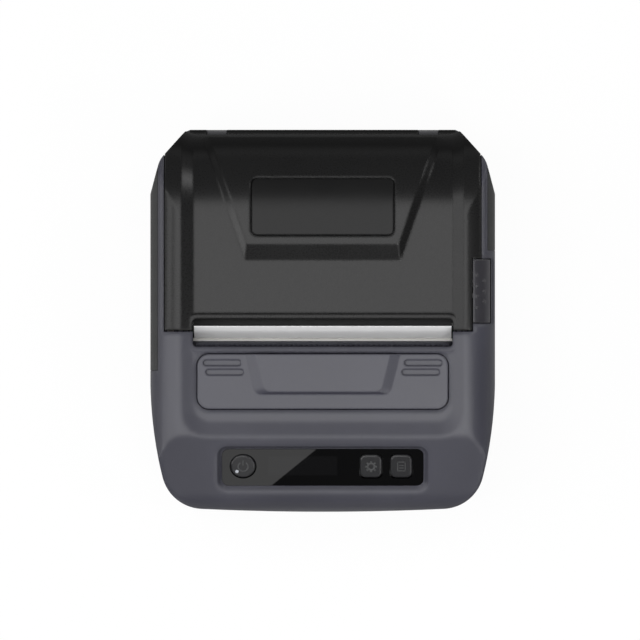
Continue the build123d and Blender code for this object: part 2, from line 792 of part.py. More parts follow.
# Deck panel with its tongue and four round-ended vents
tongue_height = 1.2
tongue_rear_x = 24.1
tongue_front_x = 21.1
tongue_length = 12.5
tongue_bevel = 3.2
tongue_front_bevel = 0.8
tongue_corner_radius = 2.4
vent_depth = 0.7
vent_length = 11.8
vent_width = 1.9
vent_end_gap = 2.1       # from the panel's edge to the rear vents
vent_setback = 3.05
vent_step_x = -0.8
vent_step_y = -2.9
tongue_rear_y = deck_rear_y - deck_groove
tongue_front_y = tongue_rear_y - tongue_length
with BuildPart() as deck_panel:
    middle_y = (deck_front_y + deck_rear_y) / 2
    with BuildSketch(Plane.XY.offset(field_floor_z - deck_thickness)):
        with Locations((0, middle_y)):
            RectangleRounded(2 * (deck_half_width - deck_groove),
                             deck_rear_y - deck_front_y - 2 * deck_groove,
                             deck_corner_radius - deck_groove)
    extrude(amount=deck_thickness)
    for z, bevel, front_bevel in ((field_floor_z, 0, 0),
                                  (field_floor_z + tongue_height, tongue_bevel, tongue_front_bevel)):
        with BuildSketch(Plane.XY.offset(z)) as tongue:
            with BuildLine():
                Polyline(
                    (-tongue_rear_x + bevel, tongue_rear_y),
                    (tongue_rear_x - bevel, tongue_rear_y),
                    (tongue_front_x - bevel, tongue_front_y + front_bevel),
                    (-tongue_front_x + bevel, tongue_front_y + front_bevel),
                    close=True,
                )
            make_face()
            fillet(tongue.vertices().group_by(Axis.Y)[0], tongue_corner_radius)
    loft(ruled=True)
    vent_x = deck_half_width - vent_end_gap - vent_length / 2
    for side in (-1, 1):
        for row in range(2):
            with BuildSketch(Plane.XY.offset(field_floor_z)):
                with Locations((side * (vent_x + row * vent_step_x),
                                deck_rear_y - vent_setback + row * vent_step_y)):
                    SlotOverall(vent_length, vent_width)
            extrude(amount=-vent_depth, mode=Mode.SUBTRACT)
save(deck_panel, "deck_panel")

# Gloss control panel with holes for the three keys
key_y = 0.4
power_radius = 3.9
power_inset = 6.5
feed_inset = 6.8
key_pitch = 9.4
key_width = 6.8
key_length = 7.8
key_corner_radius = 1.9
key_bevel = 0.4
key_proud = 0.25
key_travel = 0.5
key_flange = 0.7
key_flange_margin = 0.8
key_stem_depth = 4.2
key_stem_radius = 1.5
light_radius = 0.55
light_offset_x = -1.9
light_offset_y = -1.7
power_x = -panel_width / 2 + power_inset
feed_x = panel_width / 2 - feed_inset
menu_x = feed_x - key_pitch
panel_back = panel_plane.offset(-rim_depth - panel_thickness)


def key_outline(plane, x, grow, corner=key_corner_radius):
    """Outline of a square key on a plane parallel to the panel, grown all round by grow."""
    with BuildSketch(plane) as outline:
        with Locations((x, key_y)):
            RectangleRounded(key_width + 2 * grow, key_length + 2 * grow, corner)
    return outline.sketch


def power_outline(plane, grow):
    """Outline of the round power key, grown all round by grow."""
    with BuildSketch(plane) as outline:
        with Locations((power_x, key_y)):
            Circle(power_radius + grow)
    return outline.sketch


with BuildPart() as control_panel:
    with BuildSketch(panel_back):
        RectangleRounded(panel_width, panel_length, panel_corner_radius - seat_gap)
    extrude(amount=panel_thickness)
    for x in (menu_x, feed_x):
        extrude(key_outline(panel_back, x, slip_gap), amount=2 * panel_thickness, mode=Mode.SUBTRACT)
    extrude(power_outline(panel_back, slip_gap), amount=2 * panel_thickness, mode=Mode.SUBTRACT)
save(control_panel, "control_panel")

# Keys: cap through the panel, flange behind it, stem above the switch
flange_plane = panel_plane.offset(-rim_depth - panel_thickness - slip_gap)
stem_plane = panel_plane.offset(-key_stem_depth)
for key_name, key_x in (("menu_button", menu_x), ("feed_button", feed_x)):
    with BuildPart() as key:
        extrude(key_outline(flange_plane, key_x, 0), amount=panel_thickness + slip_gap + key_proud)
        chamfer(key.faces().sort_by(Axis.Z)[-1].edges(), key_bevel)
        extrude(key_outline(flange_plane, key_x, key_flange_margin), amount=-key_flange)
        with BuildSketch(stem_plane):
            with Locations((key_x, key_y)):
                Circle(key_stem_radius)
        extrude(amount=key_stem_depth - rim_depth - panel_thickness - slip_gap)
    save(key, key_name)

with BuildPart() as power_button:
    extrude(power_outline(flange_plane, 0), amount=panel_thickness + slip_gap + key_proud)
    chamfer(power_button.faces().sort_by(Axis.Z)[-1].edges(), key_bevel)
    extrude(power_outline(flange_plane, key_flange_margin), amount=-key_flange)
    with BuildSketch(stem_plane):
        with Locations((power_x, key_y)):
            Circle(key_stem_radius)
    extrude(amount=key_stem_depth - rim_depth - panel_thickness - slip_gap)
    with BuildSketch(panel_plane.offset(-case_height)):
        with Locations((power_x + light_offset_x, key_y + light_offset_y)):
            Circle(light_radius + shaft_gap)
    extrude(amount=2 * case_height, mode=Mode.SUBTRACT)
save(power_button, "power_button")

with BuildPart() as status_light:
    with BuildSketch(panel_plane.offset(-key_stem_depth)):
        with Locations((power_x + light_offset_x, key_y + light_offset_y)):
            Circle(light_radius)
    extrude(amount=key_stem_depth - rim_depth + key_proud)
save(status_light, "status_light")

# Display under its window, and the board that carries it and the switches
display_x = -6.2
display_edge = 2.0
display_end = 1.0
display_width = 23.0
display_length = 8.0
display_thickness = 1.4
key_board_depth = 6.4
key_board_thickness = 1.2
key_board_width = 60.0
key_board_length = 11.0
switch_size = 4.5
switch_height = 1.6
display_plane = panel_plane.offset(-rim_depth - panel_thickness - seat_gap)
board_plane = panel_plane.offset(-key_board_depth)
with BuildPart() as display_module:
    with BuildSketch(display_plane):
        with Locations((display_x, key_y)):
            Rectangle(display_width, display_length)
    extrude(amount=-display_thickness)
save(display_module, "display_module")

with BuildPart() as button_board:
    with BuildSketch(board_plane):
        Rectangle(key_board_width, key_board_length)
    extrude(amount=-key_board_thickness)
    with BuildSketch(board_plane):
        with Locations((power_x, key_y), (menu_x, key_y), (feed_x, key_y)):
            Rectangle(switch_size, switch_size)
    extrude(amount=switch_height)
    with BuildSketch(board_plane):
        with Locations((display_x, key_y)):
            Rectangle(display_width - 2 * display_edge, display_length - 2 * display_end)
    extrude(amount=key_board_depth - rim_depth - panel_thickness - seat_gap - display_thickness)
save(button_board, "button_board")

# Release button on the shoulder, with grip dots and a post down to the latch lever
dot_radius = 0.5
dot_draft = 0.1
dot_sink = 0.6
dot_height = 0.3
dot_pitch = 3.26
dot_column_gap = 2.1
dot_side_margin = 1.2
dot_setback = 4.95
post_width = 2.6
post_length = 2.4
post_draw = 2.5
post_setback = 1.5
post_reach = 7.0         # of the post's foot below the platen's axis
post_x = button_high_x - post_draw
post_y = button_high_y - post_setback
post_foot_z = platen_z - post_reach
shoulder_x = half_width - shoulder_radius
shoulder_z = case_height - shoulder_radius
with BuildPart() as release_button:
    add(outer_volume)
    slab(button_low_x, button_high_x, button_low_y, button_high_y, button_base_z, 2 * case_height,
         mode=Mode.INTERSECT)
    slab(post_x - post_width / 2, post_x + post_width / 2, post_y - post_length / 2,
         post_y + post_length / 2,
         post_foot_z, button_base_z + cut_margin)
    for column, count in ((0, 4), (1, 3)):
        column_x = button_low_x + dot_side_margin + column * dot_column_gap
        first_y = button_high_y - dot_setback - column * dot_pitch / 2
        surface_z = shoulder_z + math.sqrt(shoulder_radius ** 2 - (column_x - shoulder_x) ** 2)
        with Locations(*[(column_x, first_y - step * dot_pitch, surface_z - dot_sink)
                         for step in range(count)]):
            Cone(dot_radius + dot_draft, dot_radius - dot_draft, dot_sink + dot_height,
                 align=(Align.CENTER, Align.CENTER, Align.MIN))
save(release_button, "release_button")

# Latch lever: a bell crank on a pin, nose over the cover's catch and its rear arm under the post
lever_gap = 0.3
lever_pivot_ahead = 6.8  # of the post
lever_pivot_drop = 11.2  # below the platen's axis
lever_rise = 14.3        # from the pivot to the lever's top
lever_arm = 2.4
lever_nose_reach = 5.0
lever_nose_height = 0.8
lever_nose_draft = 0.6
lever_tail_depth = 3.0
lever_flange_thickness = 1.0
lever_pin_radius = 1.2
catch_gap = 0.25
catch_thickness = 0.8
catch_lap = 0.6          # of the catch in front of the nose's tip
catch_length = 2.6
lever_x = plate_out + lever_gap
lever_pivot_y = post_y - lever_pivot_ahead
lever_pivot_z = platen_z - lever_pivot_drop
lever_top_z = lever_pivot_z + lever_rise
lever_nose_y = lever_pivot_y - lever_nose_reach
catch_low_y = lever_nose_y - catch_lap
catch_high_y = catch_low_y + catch_length
catch_reach_x = lever_x + sheet
flange_top_z = post_foot_z - slip_gap
with BuildPart() as latch_lever:
    with BuildSketch(Plane.YZ.offset(lever_x)):
        with Locations((lever_pivot_y, lever_pivot_z)):
            Circle(lever_arm)
        with BuildLine():
            Polyline(
                (lever_pivot_y - lever_arm / 2, lever_pivot_z),
                (lever_pivot_y - lever_arm / 2, lever_top_z - lever_nose_height),
                (lever_nose_y, lever_top_z - lever_nose_height),
                (lever_nose_y + lever_nose_draft, lever_top_z),
                (lever_pivot_y + lever_arm / 2, lever_top_z),
                (lever_pivot_y + lever_arm / 2, lever_pivot_z + lever_arm),
                (post_y + post_length / 2, flange_top_z),
                (post_y + post_length / 2, flange_top_z - lever_tail_depth),
                (lever_pivot_y, lever_pivot_z - lever_arm),
                close=True,
            )
        make_face()
    extrude(amount=sheet)
    # Flange bent out under the button's post
    slab(lever_x, post_x + post_width / 2, post_y - post_length / 2, post_y + post_length / 2,
         flange_top_z - lever_flange_thickness, flange_top_z)
    rod(lever_pin_radius + shaft_gap, 0, case_width, lever_pivot_y, lever_pivot_z, mode=Mode.SUBTRACT)
save(latch_lever, "latch_lever")

# Mechanism frame: two side plates, a base and a spring bar
frame_front_y = -29.0
frame_rear_y = 14.0
frame_base_length = 12.0
frame_nose_drop = 2.2
frame_bar_y = -17.0
frame_bar_lift = 2.2
frame_bar_top_lift = 7.8
frame_bar_lap = 3.0
frame_notch_front_y = -6.0
frame_notch_draw = 4.54  # from the platen's axis back to the notch's lower lip
frame_notch_drop = 1.2
frame_rear_drop = 7.2
frame_notch_length = 30.0
bush_radius = 2.6
motor_radius = 7.0
motor_length = 20.5
motor_back = 19.36       # from the platen's axis towards the front
motor_drop = 6.2
motor_flange_gap = 2.0
motor_flange_trim = (1.0, 3.0, 4.0)
motor_plug_inset = 4.0
motor_plug_half = 3.0
motor_plug_height = 1.2
motor_shaft_radius = 0.75
motor_shaft_depth = 8.0
motor_bevel = 0.6
pivot_y = -11.5
pivot_radius = 1.25
pivot_drop = 9.7
gear_module = 0.6
platen_teeth = 18
idler_teeth = 22
pinion_teeth = 10
gear_gap = 1.6
gear_width = 2.0
idler_shaft_radius = 1.0
shaft_end = 0.4          # of a shaft beyond its gear
rivet_length = 0.6
head_ratio = 1.6         # of a screw's or pin's head to its shank
spring_draw = 0.2
spring_seat_margin = 2.0     # of the seat behind the spring
frame_nose_z = platen_z - frame_nose_drop
frame_bar_z = platen_z + frame_bar_lift
frame_bar_top_z = platen_z + frame_bar_top_lift
frame_rear_z = platen_z - frame_rear_drop
motor_y = platen_y - motor_back
motor_z = platen_z - motor_drop
motor_low_x = -frame_plate_x + motor_flange_gap
motor_high_x = motor_low_x + motor_length
pivot_z = platen_z - pivot_drop
gear_low_x = -plate_out - gear_gap - gear_width
spring_x = post_x - spring_draw
spring_y = post_y

platen_idler = gear_module * (platen_teeth + idler_teeth) / 2
idler_pinion = gear_module * (idler_teeth + pinion_teeth) / 2
motor_distance = math.hypot(motor_y - platen_y, motor_z - platen_z)
along = (motor_distance ** 2 + platen_idler ** 2 - idler_pinion ** 2) / (2 * motor_distance)
aside = math.sqrt(platen_idler ** 2 - along ** 2)
unit_y = (motor_y - platen_y) / motor_distance
unit_z = (motor_z - platen_z) / motor_distance
idler_y = platen_y + along * unit_y + aside * unit_z
idler_z = platen_z + along * unit_z - aside * unit_y
with BuildPart() as mechanism_frame:
    with BuildSketch(Plane.YZ.offset(frame_plate_x)) as plate:
        with BuildLine():
            Polyline(
                (frame_front_y, frame_base_z),
                (frame_front_y, frame_nose_z),
                (frame_bar_y - frame_bar_lap, frame_bar_top_z),
                (frame_notch_front_y, frame_bar_top_z),
                (platen_y + frame_notch_draw, platen_z - frame_notch_drop),
                (frame_rear_y, frame_rear_z),
                (frame_rear_y, frame_base_z),
                close=True,
            )
        make_face()
        # Notch open along the way the platen leaves
        with Locations((platen_y, platen_z)):
            Circle(bush_radius + seat_gap, mode=Mode.SUBTRACT)
        with Locations(Location((platen_y, platen_z), opening_lift)):
            Rectangle(frame_notch_length, 2 * (bush_radius + seat_gap), align=(Align.MIN, Align.CENTER),
                      mode=Mode.SUBTRACT)
    extrude(amount=sheet)
    mirror(mechanism_frame.part, about=Plane.YZ)
    plate_in = frame_plate_x + sheet / 2
    slab(-plate_in, plate_in, frame_front_y, frame_front_y + frame_base_length, frame_base_z,
         frame_base_z + sheet)
    slab(-plate_in, plate_in, frame_bar_y, frame_bar_y + sheet, frame_bar_z, frame_bar_top_z)
    rod(pivot_radius + shaft_gap, -case_width, case_width, pivot_y, pivot_z, mode=Mode.SUBTRACT)
    rod(idler_shaft_radius + shaft_gap, -case_width, 0, idler_y, idler_z, mode=Mode.SUBTRACT)
    rod(2 * motor_shaft_radius, -case_width, 0, motor_y, motor_z, mode=Mode.SUBTRACT)
    rod(lever_pin_radius + shaft_gap, 0, case_width, lever_pivot_y, lever_pivot_z, mode=Mode.SUBTRACT)
    # Feet bent out over the posts
    for side in (-1, 1):
        for post in (frame_post_front_y, frame_post_rear_y):
            low, high = sorted((side * frame_plate_x, side * frame_foot_x))
            slab(low, high, post - frame_foot_length / 2, post + frame_foot_length / 2, frame_base_z,
                 frame_base_z + sheet)
            with Locations((side * frame_post_x, post, frame_base_z)):
                Cylinder(frame_screw_radius + shaft_gap, 4 * sheet, mode=Mode.SUBTRACT)
    slab(frame_plate_x, half_width - wall - slip_gap, frame_rear_y - cut_margin,
         spring_y + spring_seat_margin, frame_base_z, frame_base_z + sheet)
save(mechanism_frame, "mechanism_frame")

with BuildPart() as pivot_shaft:
    rod(pivot_radius, -plate_out - rivet_length, plate_out + rivet_length, pivot_y, pivot_z)
save(pivot_shaft, "pivot_shaft")

with BuildPart() as idler_shaft:
    rod(idler_shaft_radius, gear_low_x - 2 * shaft_end, -frame_plate_x + rivet_length, idler_y, idler_z)
    rod(2 * idler_shaft_radius, -frame_plate_x, -frame_plate_x + rivet_length, idler_y, idler_z)
save(idler_shaft, "idler_shaft")

with BuildPart() as latch_pin:
    rod(lever_pin_radius, frame_plate_x - rivet_length, lever_x + sheet + 2 * shaft_end, lever_pivot_y,
        lever_pivot_z)
    rod(head_ratio * lever_pin_radius, frame_plate_x - rivet_length, frame_plate_x, lever_pivot_y,
        lever_pivot_z)
save(latch_pin, "latch_pin")

with BuildPart() as stepper_motor:
    flange_top, flange_low, flange_high = motor_flange_trim
    rod(motor_radius, motor_low_x, motor_high_x, motor_y, motor_z)
    chamfer(stepper_motor.edges().filter_by(GeomType.CIRCLE), motor_bevel)
    slab(-frame_plate_x, motor_low_x, motor_y - motor_radius, motor_y + motor_radius - flange_top,
         motor_z - motor_radius + flange_low, motor_z + motor_radius - flange_high)
    slab(motor_low_x + motor_plug_inset, motor_high_x - motor_plug_inset, motor_y - motor_plug_half,
         motor_y + motor_plug_half, motor_z - motor_radius - motor_plug_height, motor_z)
    rod(motor_shaft_radius + shaft_gap, -case_width, motor_low_x + motor_shaft_depth, motor_y, motor_z,
        mode=Mode.SUBTRACT)
save(stepper_motor, "stepper_motor")


def toothed(teeth, bore, y, z, phase):
    """Spur gear round an X axis with one tooth centred at the angle phase."""
    pitch_radius = gear_module * teeth / 2
    points = []
    for tooth in range(teeth):
        middle = phase + tooth * math.tau / teeth
        for radius, half in (
            (pitch_radius - dedendum * gear_module, flank_spread),
            (pitch_radius, 0.0),
            (pitch_radius + gear_module, -flank_spread),
        ):
            points.append((radius, middle - gear_half(pitch_radius) / radius - half / radius))
        for radius, half in (
            (pitch_radius + gear_module, -flank_spread),
            (pitch_radius, 0.0),
            (pitch_radius - dedendum * gear_module, flank_spread),
        ):
            points.append((radius, middle + gear_half(pitch_radius) / radius + half / radius))
    with BuildPart() as wheel:
        with BuildSketch(Plane.YZ.offset(gear_low_x)):
            with BuildLine():
                Polyline(*[(y + radius * math.cos(turn), z + radius * math.sin(turn))
                           for radius, turn in points],
                         close=True)
            make_face()
            with Locations((y, z)):
                Circle(bore, mode=Mode.SUBTRACT)
        extrude(amount=gear_width)
    return wheel.part


def gear_half(pitch_radius):
    """Half the thickness of a tooth at the pitch circle, less its share of the backlash."""
    return math.pi * gear_module / 4 - gear_backlash / 2


# Gear train from the motor to the platen, in mesh at rest
gear_backlash = 0.12
pressure_angle = 20.0
dedendum = 1.2
flank_spread = gear_module * math.tan(math.radians(pressure_angle))
angle_to_idler = math.atan2(idler_z - platen_z, idler_y - platen_y)
angle_to_motor = math.atan2(motor_z - idler_z, motor_y - idler_y)
idler_pitch = math.tau / idler_teeth
pinion_pitch = math.tau / pinion_teeth
idler_phase = angle_to_idler + math.pi + idler_pitch / 2
idler_share = ((angle_to_motor - idler_phase) / idler_pitch) % 1.0
pinion_phase = angle_to_motor + math.pi + (idler_share + 0.5) * pinion_pitch
with BuildPart() as platen_gear:
    add(toothed(platen_teeth, platen_shaft_radius, platen_y, platen_z, angle_to_idler))
save(platen_gear, "platen_gear")

with BuildPart() as idler_gear:
    add(toothed(idler_teeth, idler_shaft_radius + shaft_gap, idler_y, idler_z, idler_phase))
save(idler_gear, "idler_gear")

with BuildPart() as motor_pinion:
    add(toothed(pinion_teeth, motor_shaft_radius, motor_y, motor_z, pinion_phase))
save(motor_pinion, "motor_pinion")

with BuildPart() as motor_shaft:
    rod(motor_shaft_radius, gear_low_x - shaft_end, motor_low_x + motor_shaft_depth - slip_gap, motor_y,
        motor_z)
save(motor_shaft, "motor_shaft")

# Platen: rubber sleeve on a steel shaft, in two bushes
bush_flange_radius = 3.6
bush_flange_width = 0.7
cover_plate_gap = 1.7    # from the rubber's end to the bracket's side plate
shaft_tail = 1.3
cover_plate_x = platen_half_length + cover_plate_gap
with BuildPart() as platen_shaft:
    rod(platen_shaft_radius, gear_low_x - shaft_end, plate_out + shaft_tail, platen_y, platen_z)
save(platen_shaft, "platen_shaft")

with BuildPart() as platen_roller:
    rod(platen_radius, -platen_half_length, platen_half_length, platen_y, platen_z)
    rod(platen_shaft_radius, -case_width, case_width, platen_y, platen_z, mode=Mode.SUBTRACT)
save(platen_roller, "platen_roller")

with BuildPart() as platen_bushes:
    flange_inner_x = cover_plate_x - seat_gap - bush_flange_width
    for side in (-1, 1):
        low, high = sorted((side * flange_inner_x, side * (plate_out + slip_gap)))
        rod(bush_radius, low, high, platen_y, platen_z)
        low, high = sorted((side * flange_inner_x, side * (cover_plate_x - seat_gap)))
        rod(bush_flange_radius, low, high, platen_y, platen_z)
    rod(platen_shaft_radius + shaft_gap, -case_width, case_width, platen_y, platen_z, mode=Mode.SUBTRACT)
save(platen_bushes, "platen_bushes")

# Cover frame: bracket under the cover that carries the platen, with the catch on its right
cover_frame_lift = 6.6   # from the platen's axis to the bracket's top
cover_frame_rear_y = 12.0
cover_frame_front_y = 0.7
cover_plate_reach = 4.2
cover_plate_foot = 2.0
cover_plate_notch = 1.5
cover_plate_drop = 4.6
cover_plate_rear_lift = 3.8
cover_screw_inset = 6.1
cover_screw_y = 8.0
cover_screw_radius = 1.0
cover_frame_top_z = platen_z + cover_frame_lift
cover_screw_bite = case_height - top_underside - cover_frame_top_z
cover_screw_x = field_floor_x - cover_screw_inset
catch_top_z = lever_top_z - lever_nose_height - catch_gap
plate_rear_z = platen_z + cover_plate_rear_lift
plate_low_z = platen_z - cover_plate_drop
with BuildPart() as cover_frame:
    for side in (-1, 1):
        low, high = sorted((side * cover_plate_x, side * (cover_plate_x + sheet)))
        with BuildSketch(Plane.YZ.offset(low)) as plate:
            with BuildLine():
                Polyline(
                    (platen_y - cover_plate_reach, platen_z),
                    (platen_y - cover_plate_foot, cover_frame_top_z - cover_plate_notch),
                    (cover_frame_front_y, cover_frame_top_z),
                    (cover_frame_rear_y, cover_frame_top_z),
                    (cover_frame_rear_y, plate_rear_z),
                    (platen_y + cover_plate_reach, plate_low_z + cover_plate_foot),
                    (platen_y + cover_plate_foot, plate_low_z),
                    (platen_y - cover_plate_foot, plate_low_z),
                    close=True,
                )
            make_face()
        extrude(plate.sketch, amount=sheet)
    top_x = cover_plate_x + sheet / 2
    slab(-top_x, top_x, cover_frame_front_y, cover_frame_rear_y, cover_frame_top_z - sheet,
         cover_frame_top_z)
    slab(-top_x, top_x, cover_frame_front_y, cover_frame_front_y + sheet, cover_frame_top_z - sheet,
         case_height - top_underside - seat_gap)
    slab(top_x, catch_reach_x, catch_low_y, catch_high_y, catch_top_z - catch_thickness, catch_top_z)
    rod(bush_radius + shaft_gap, -case_width, case_width, platen_y, platen_z, mode=Mode.SUBTRACT)
    with Locations(*[(side * cover_screw_x, cover_screw_y, cover_frame_top_z) for side in (-1, 1)]):
        Cylinder(cover_screw_radius + seat_gap, 4 * sheet, mode=Mode.SUBTRACT)
save(cover_frame, "cover_frame")

with BuildPart() as cover_screws:
    for side in (-1, 1):
        with Locations((side * cover_screw_x, cover_screw_y, cover_frame_top_z - sheet)):
            Cylinder(2 * cover_screw_radius, sheet, align=(Align.CENTER, Align.CENTER, Align.MAX))
            Cylinder(cover_screw_radius, sheet + cover_screw_bite,
                     align=(Align.CENTER, Align.CENTER, Align.MIN))
save(cover_screws, "cover_screws")

with BuildPart() as frame_screws:
    for side in (-1, 1):
        for post in (frame_post_front_y, frame_post_rear_y):
            with Locations((side * frame_post_x, post, frame_base_z + sheet)):
                Cylinder(head_ratio * frame_screw_radius, frame_screw_radius,
                         align=(Align.CENTER, Align.CENTER, Align.MIN))
                Cylinder(frame_screw_radius, sheet + frame_screw_bite - slip_gap,
                         align=(Align.CENTER, Align.CENTER, Align.MAX))
save(frame_screws, "frame_screws")

# Line that the paper leaves along, past the nip
exit_rad = math.radians(exit_lean)
exit_along = (math.sin(exit_rad), math.cos(exit_rad))
exit_out = (-math.cos(exit_rad), math.sin(exit_rad))
paper_gap = 0.03


def at_nip(along_exit, out):
    """Point of the side view, along the exit line from the nip and out from the platen's surface."""
    reach = platen_radius + out
    return (
        platen_y + reach * exit_out[0] + along_exit * exit_along[0],
        platen_z + reach * exit_out[1] + along_exit * exit_along[1],
    )


def nip_plate(low_along, high_along, low_out, high_out, x_low, x_high, mode=Mode.ADD):
    """Plate parallel to the exit line."""
    with BuildSketch(Plane.YZ.offset(x_low)) as section:
        with BuildLine():
            Polyline(
                at_nip(low_along, low_out),
                at_nip(high_along, low_out),
                at_nip(high_along, high_out),
                at_nip(low_along, high_out),
                close=True,
            )
        make_face()
    extrude(section.sketch, amount=x_high - x_low, mode=mode)


# Thermal head on its heatsink, swung about the pivot shaft and pressed on by leaf springs
head_out = 0.28
head_thickness = 1.0
head_low = -8.0
head_high = 1.5
sink_thickness = 2.0
sink_low = -11.0
sink_high = 2.0
fin_height = 1.5
fin_count = 3
fin_pitch = 1.9
fin_thickness = 0.8
lug_radius = 2.3
lug_width = 4.1
lug_side_gap = 0.9
lug_outer_x = frame_plate_x - lug_side_gap
lug_inner_x = lug_outer_x - lug_width
lug_lap = 1.0
arm_half_length = 2.0
with BuildPart() as print_head:
    nip_plate(head_low, head_high, head_out, head_out + head_thickness, -platen_half_length,
              platen_half_length)
save(print_head, "print_head")

with BuildPart() as head_heatsink:
    sink_out = head_out + head_thickness + seat_gap / 2
    nip_plate(sink_low, sink_high, sink_out, sink_out + sink_thickness, lug_lap - lug_outer_x,
              lug_outer_x - lug_lap)
    for fin in range(fin_count):
        low = head_low + fin * fin_pitch
        nip_plate(low, low + fin_thickness, sink_out, sink_out + sink_thickness + fin_height,
                  -lug_inner_x, lug_inner_x)
    for side in (-1, 1):
        low, high = sorted((side * lug_inner_x, side * lug_outer_x))
        rod(lug_radius, low, high, pivot_y, pivot_z)
        nip_plate(sink_low - arm_half_length, sink_low + arm_half_length, sink_out - lug_lap,
                  sink_out + sink_thickness,
                  low, high)
    rod(pivot_radius + shaft_gap, -case_width, case_width, pivot_y, pivot_z, mode=Mode.SUBTRACT)
save(head_heatsink, "head_heatsink")

# Leaf springs between the frame's bar and the back of the heatsink
leaf_half_width = 5.0
leaf_x = 12.0
leaf_thickness = 0.3
leaf_run = 1.3
leaf_drop = 1.6
leaf_tip_inset = 1.6
leaf_root_drop = 1.5
leaf_root_z = frame_bar_top_z - leaf_root_drop
with BuildPart() as head_spring:
    tip_y, tip_z = at_nip(sink_high - leaf_tip_inset, sink_out + sink_thickness + seat_gap)
    bar_face_y = frame_bar_y + sheet + seat_gap / 2
    for side in (-1, 1):
        with BuildSketch(Plane.YZ.offset(side * leaf_x - leaf_half_width)) as leaf:
            with BuildLine():
                Polyline(
                    (bar_face_y, leaf_root_z),
                    (bar_face_y, frame_bar_z),
                    (tip_y - leaf_run, tip_z - leaf_drop),
                    (tip_y, tip_z),
                    (tip_y - leaf_thickness, tip_z + leaf_thickness / 2),
                    (tip_y - leaf_run - leaf_thickness, tip_z - leaf_drop + leaf_thickness),
                    (bar_face_y + leaf_thickness, frame_bar_z + leaf_thickness),
                    (bar_face_y + leaf_thickness, leaf_root_z),
                    close=True,
                )
            make_face()
        extrude(leaf.sketch, amount=2 * leaf_half_width)
save(head_spring, "head_spring")

# Folded leaf spring that lifts the latch lever's flange and the button on it
latch_leaf_width = 3.0
latch_leaf_thickness = 0.4
latch_leaf_foot = (1.2, -2.0)
latch_leaf_fold = 0.8
latch_leaf_top = -1.0
latch_leaf_low_z = frame_base_z + sheet + seat_gap / 2
latch_leaf_high_z = flange_top_z - lever_flange_thickness - seat_gap / 2
with BuildPart() as latch_spring:
    foot_end_y, foot_fold_y = (spring_y + reach for reach in latch_leaf_foot)
    fold_y = spring_y + latch_leaf_fold
    top_fold_y = spring_y + latch_leaf_top
    fold_z = (latch_leaf_low_z + latch_leaf_high_z) / 2
    with BuildSketch(Plane.YZ.offset(spring_x - latch_leaf_width / 2)) as leaf:
        with BuildLine():
            Polyline(
                (foot_end_y, latch_leaf_low_z),
                (foot_fold_y, latch_leaf_low_z),
                (fold_y, fold_z),
                (top_fold_y, latch_leaf_high_z),
                (fold_y, latch_leaf_high_z),
                (fold_y, latch_leaf_high_z - latch_leaf_thickness),
                (top_fold_y + 1.5 * latch_leaf_thickness, latch_leaf_high_z - latch_leaf_thickness),
                (fold_y + 1.2 * latch_leaf_thickness, fold_z),
                (foot_fold_y + 1.75 * latch_leaf_thickness, latch_leaf_low_z + latch_leaf_thickness),
                (foot_end_y, latch_leaf_low_z + latch_leaf_thickness),
                close=True,
            )
        make_face()
    extrude(leaf.sketch, amount=latch_leaf_width)
save(latch_spring, "latch_spring")

# Toothed bar that the paper is torn against, on the slot's front wall
tear_side_gap = 1.1
tear_thickness = 0.6
tear_height = 3.4
tear_pitch = 1.6
tear_tooth = 0.9
tear_drop = 0.8
tear_half_width = slot_half_width - tear_side_gap
tear_top_z = field_floor_z - tear_drop
wall_lean = math.atan2(chute_foot_y - slot_front_y, chute_top_z - chute_foot_z)
tear_top_y = slot_front_y + (chute_top_z - tear_top_z) * math.tan(wall_lean) + seat_gap
tear_plane = Plane(
    origin=(0, tear_top_y, tear_top_z),
    x_dir=(-1, 0, 0),
    z_dir=(0, math.cos(wall_lean), math.sin(wall_lean)),
)
with BuildPart() as tear_bar:
    teeth_count = round(2 * tear_half_width / tear_pitch)
    with BuildSketch(tear_plane):
        with BuildLine():
            Polyline(
                *[(-tear_half_width + step * tear_half_width / teeth_count, -tear_tooth * (step % 2))
                  for step in range(2 * teeth_count + 1)],
                (tear_half_width, -tear_height),
                (-tear_half_width, -tear_height),
                close=True,
            )
        make_face()
    extrude(amount=tear_thickness)
save(tear_bar, "tear_bar")

# Paper bay: open trough with end walls, and flanges that close the gap to the cheeks
web_gap = 0.08
flange_top = skirt_depth + 2 * slip_gap
flange_thickness = 1.4
flange_reach = 1.8       # past the cover's side, into the cheek
flange_button_gap = 0.7
flange_length = 30.4
flange_base = flange_top + flange_thickness
flange_half_width = cover_half_width + flange_reach
flange_front_y = button_high_y + flange_button_gap
flange_rear_y = flange_front_y + flange_length
roll_dy = roll_y - platen_y
roll_dz = roll_z - platen_z
roll_draw = math.hypot(roll_dy, roll_dz)
web_turn = math.atan2(roll_dz, roll_dy) - math.acos((platen_radius - roll_radius) / roll_draw)
web_out = (math.cos(web_turn), math.sin(web_turn))
web_along = (web_out[1], -web_out[0])


def bay_section(radius):
    """Round of the trough with its front wall drawn up parallel to the paper's run."""
    foot = (roll_y + radius * web_out[0], bay_z + radius * web_out[1])
    rise = (bay_z - foot[1]) / web_along[1]
    with BuildSketch(Plane.YZ) as section:
        with Locations((roll_y, bay_z)):
            Circle(radius)
        with BuildLine():
            Polyline((roll_y, bay_z), foot, (foot[0] + rise * web_along[0], bay_z), close=True)
        make_face()
    return section.sketch


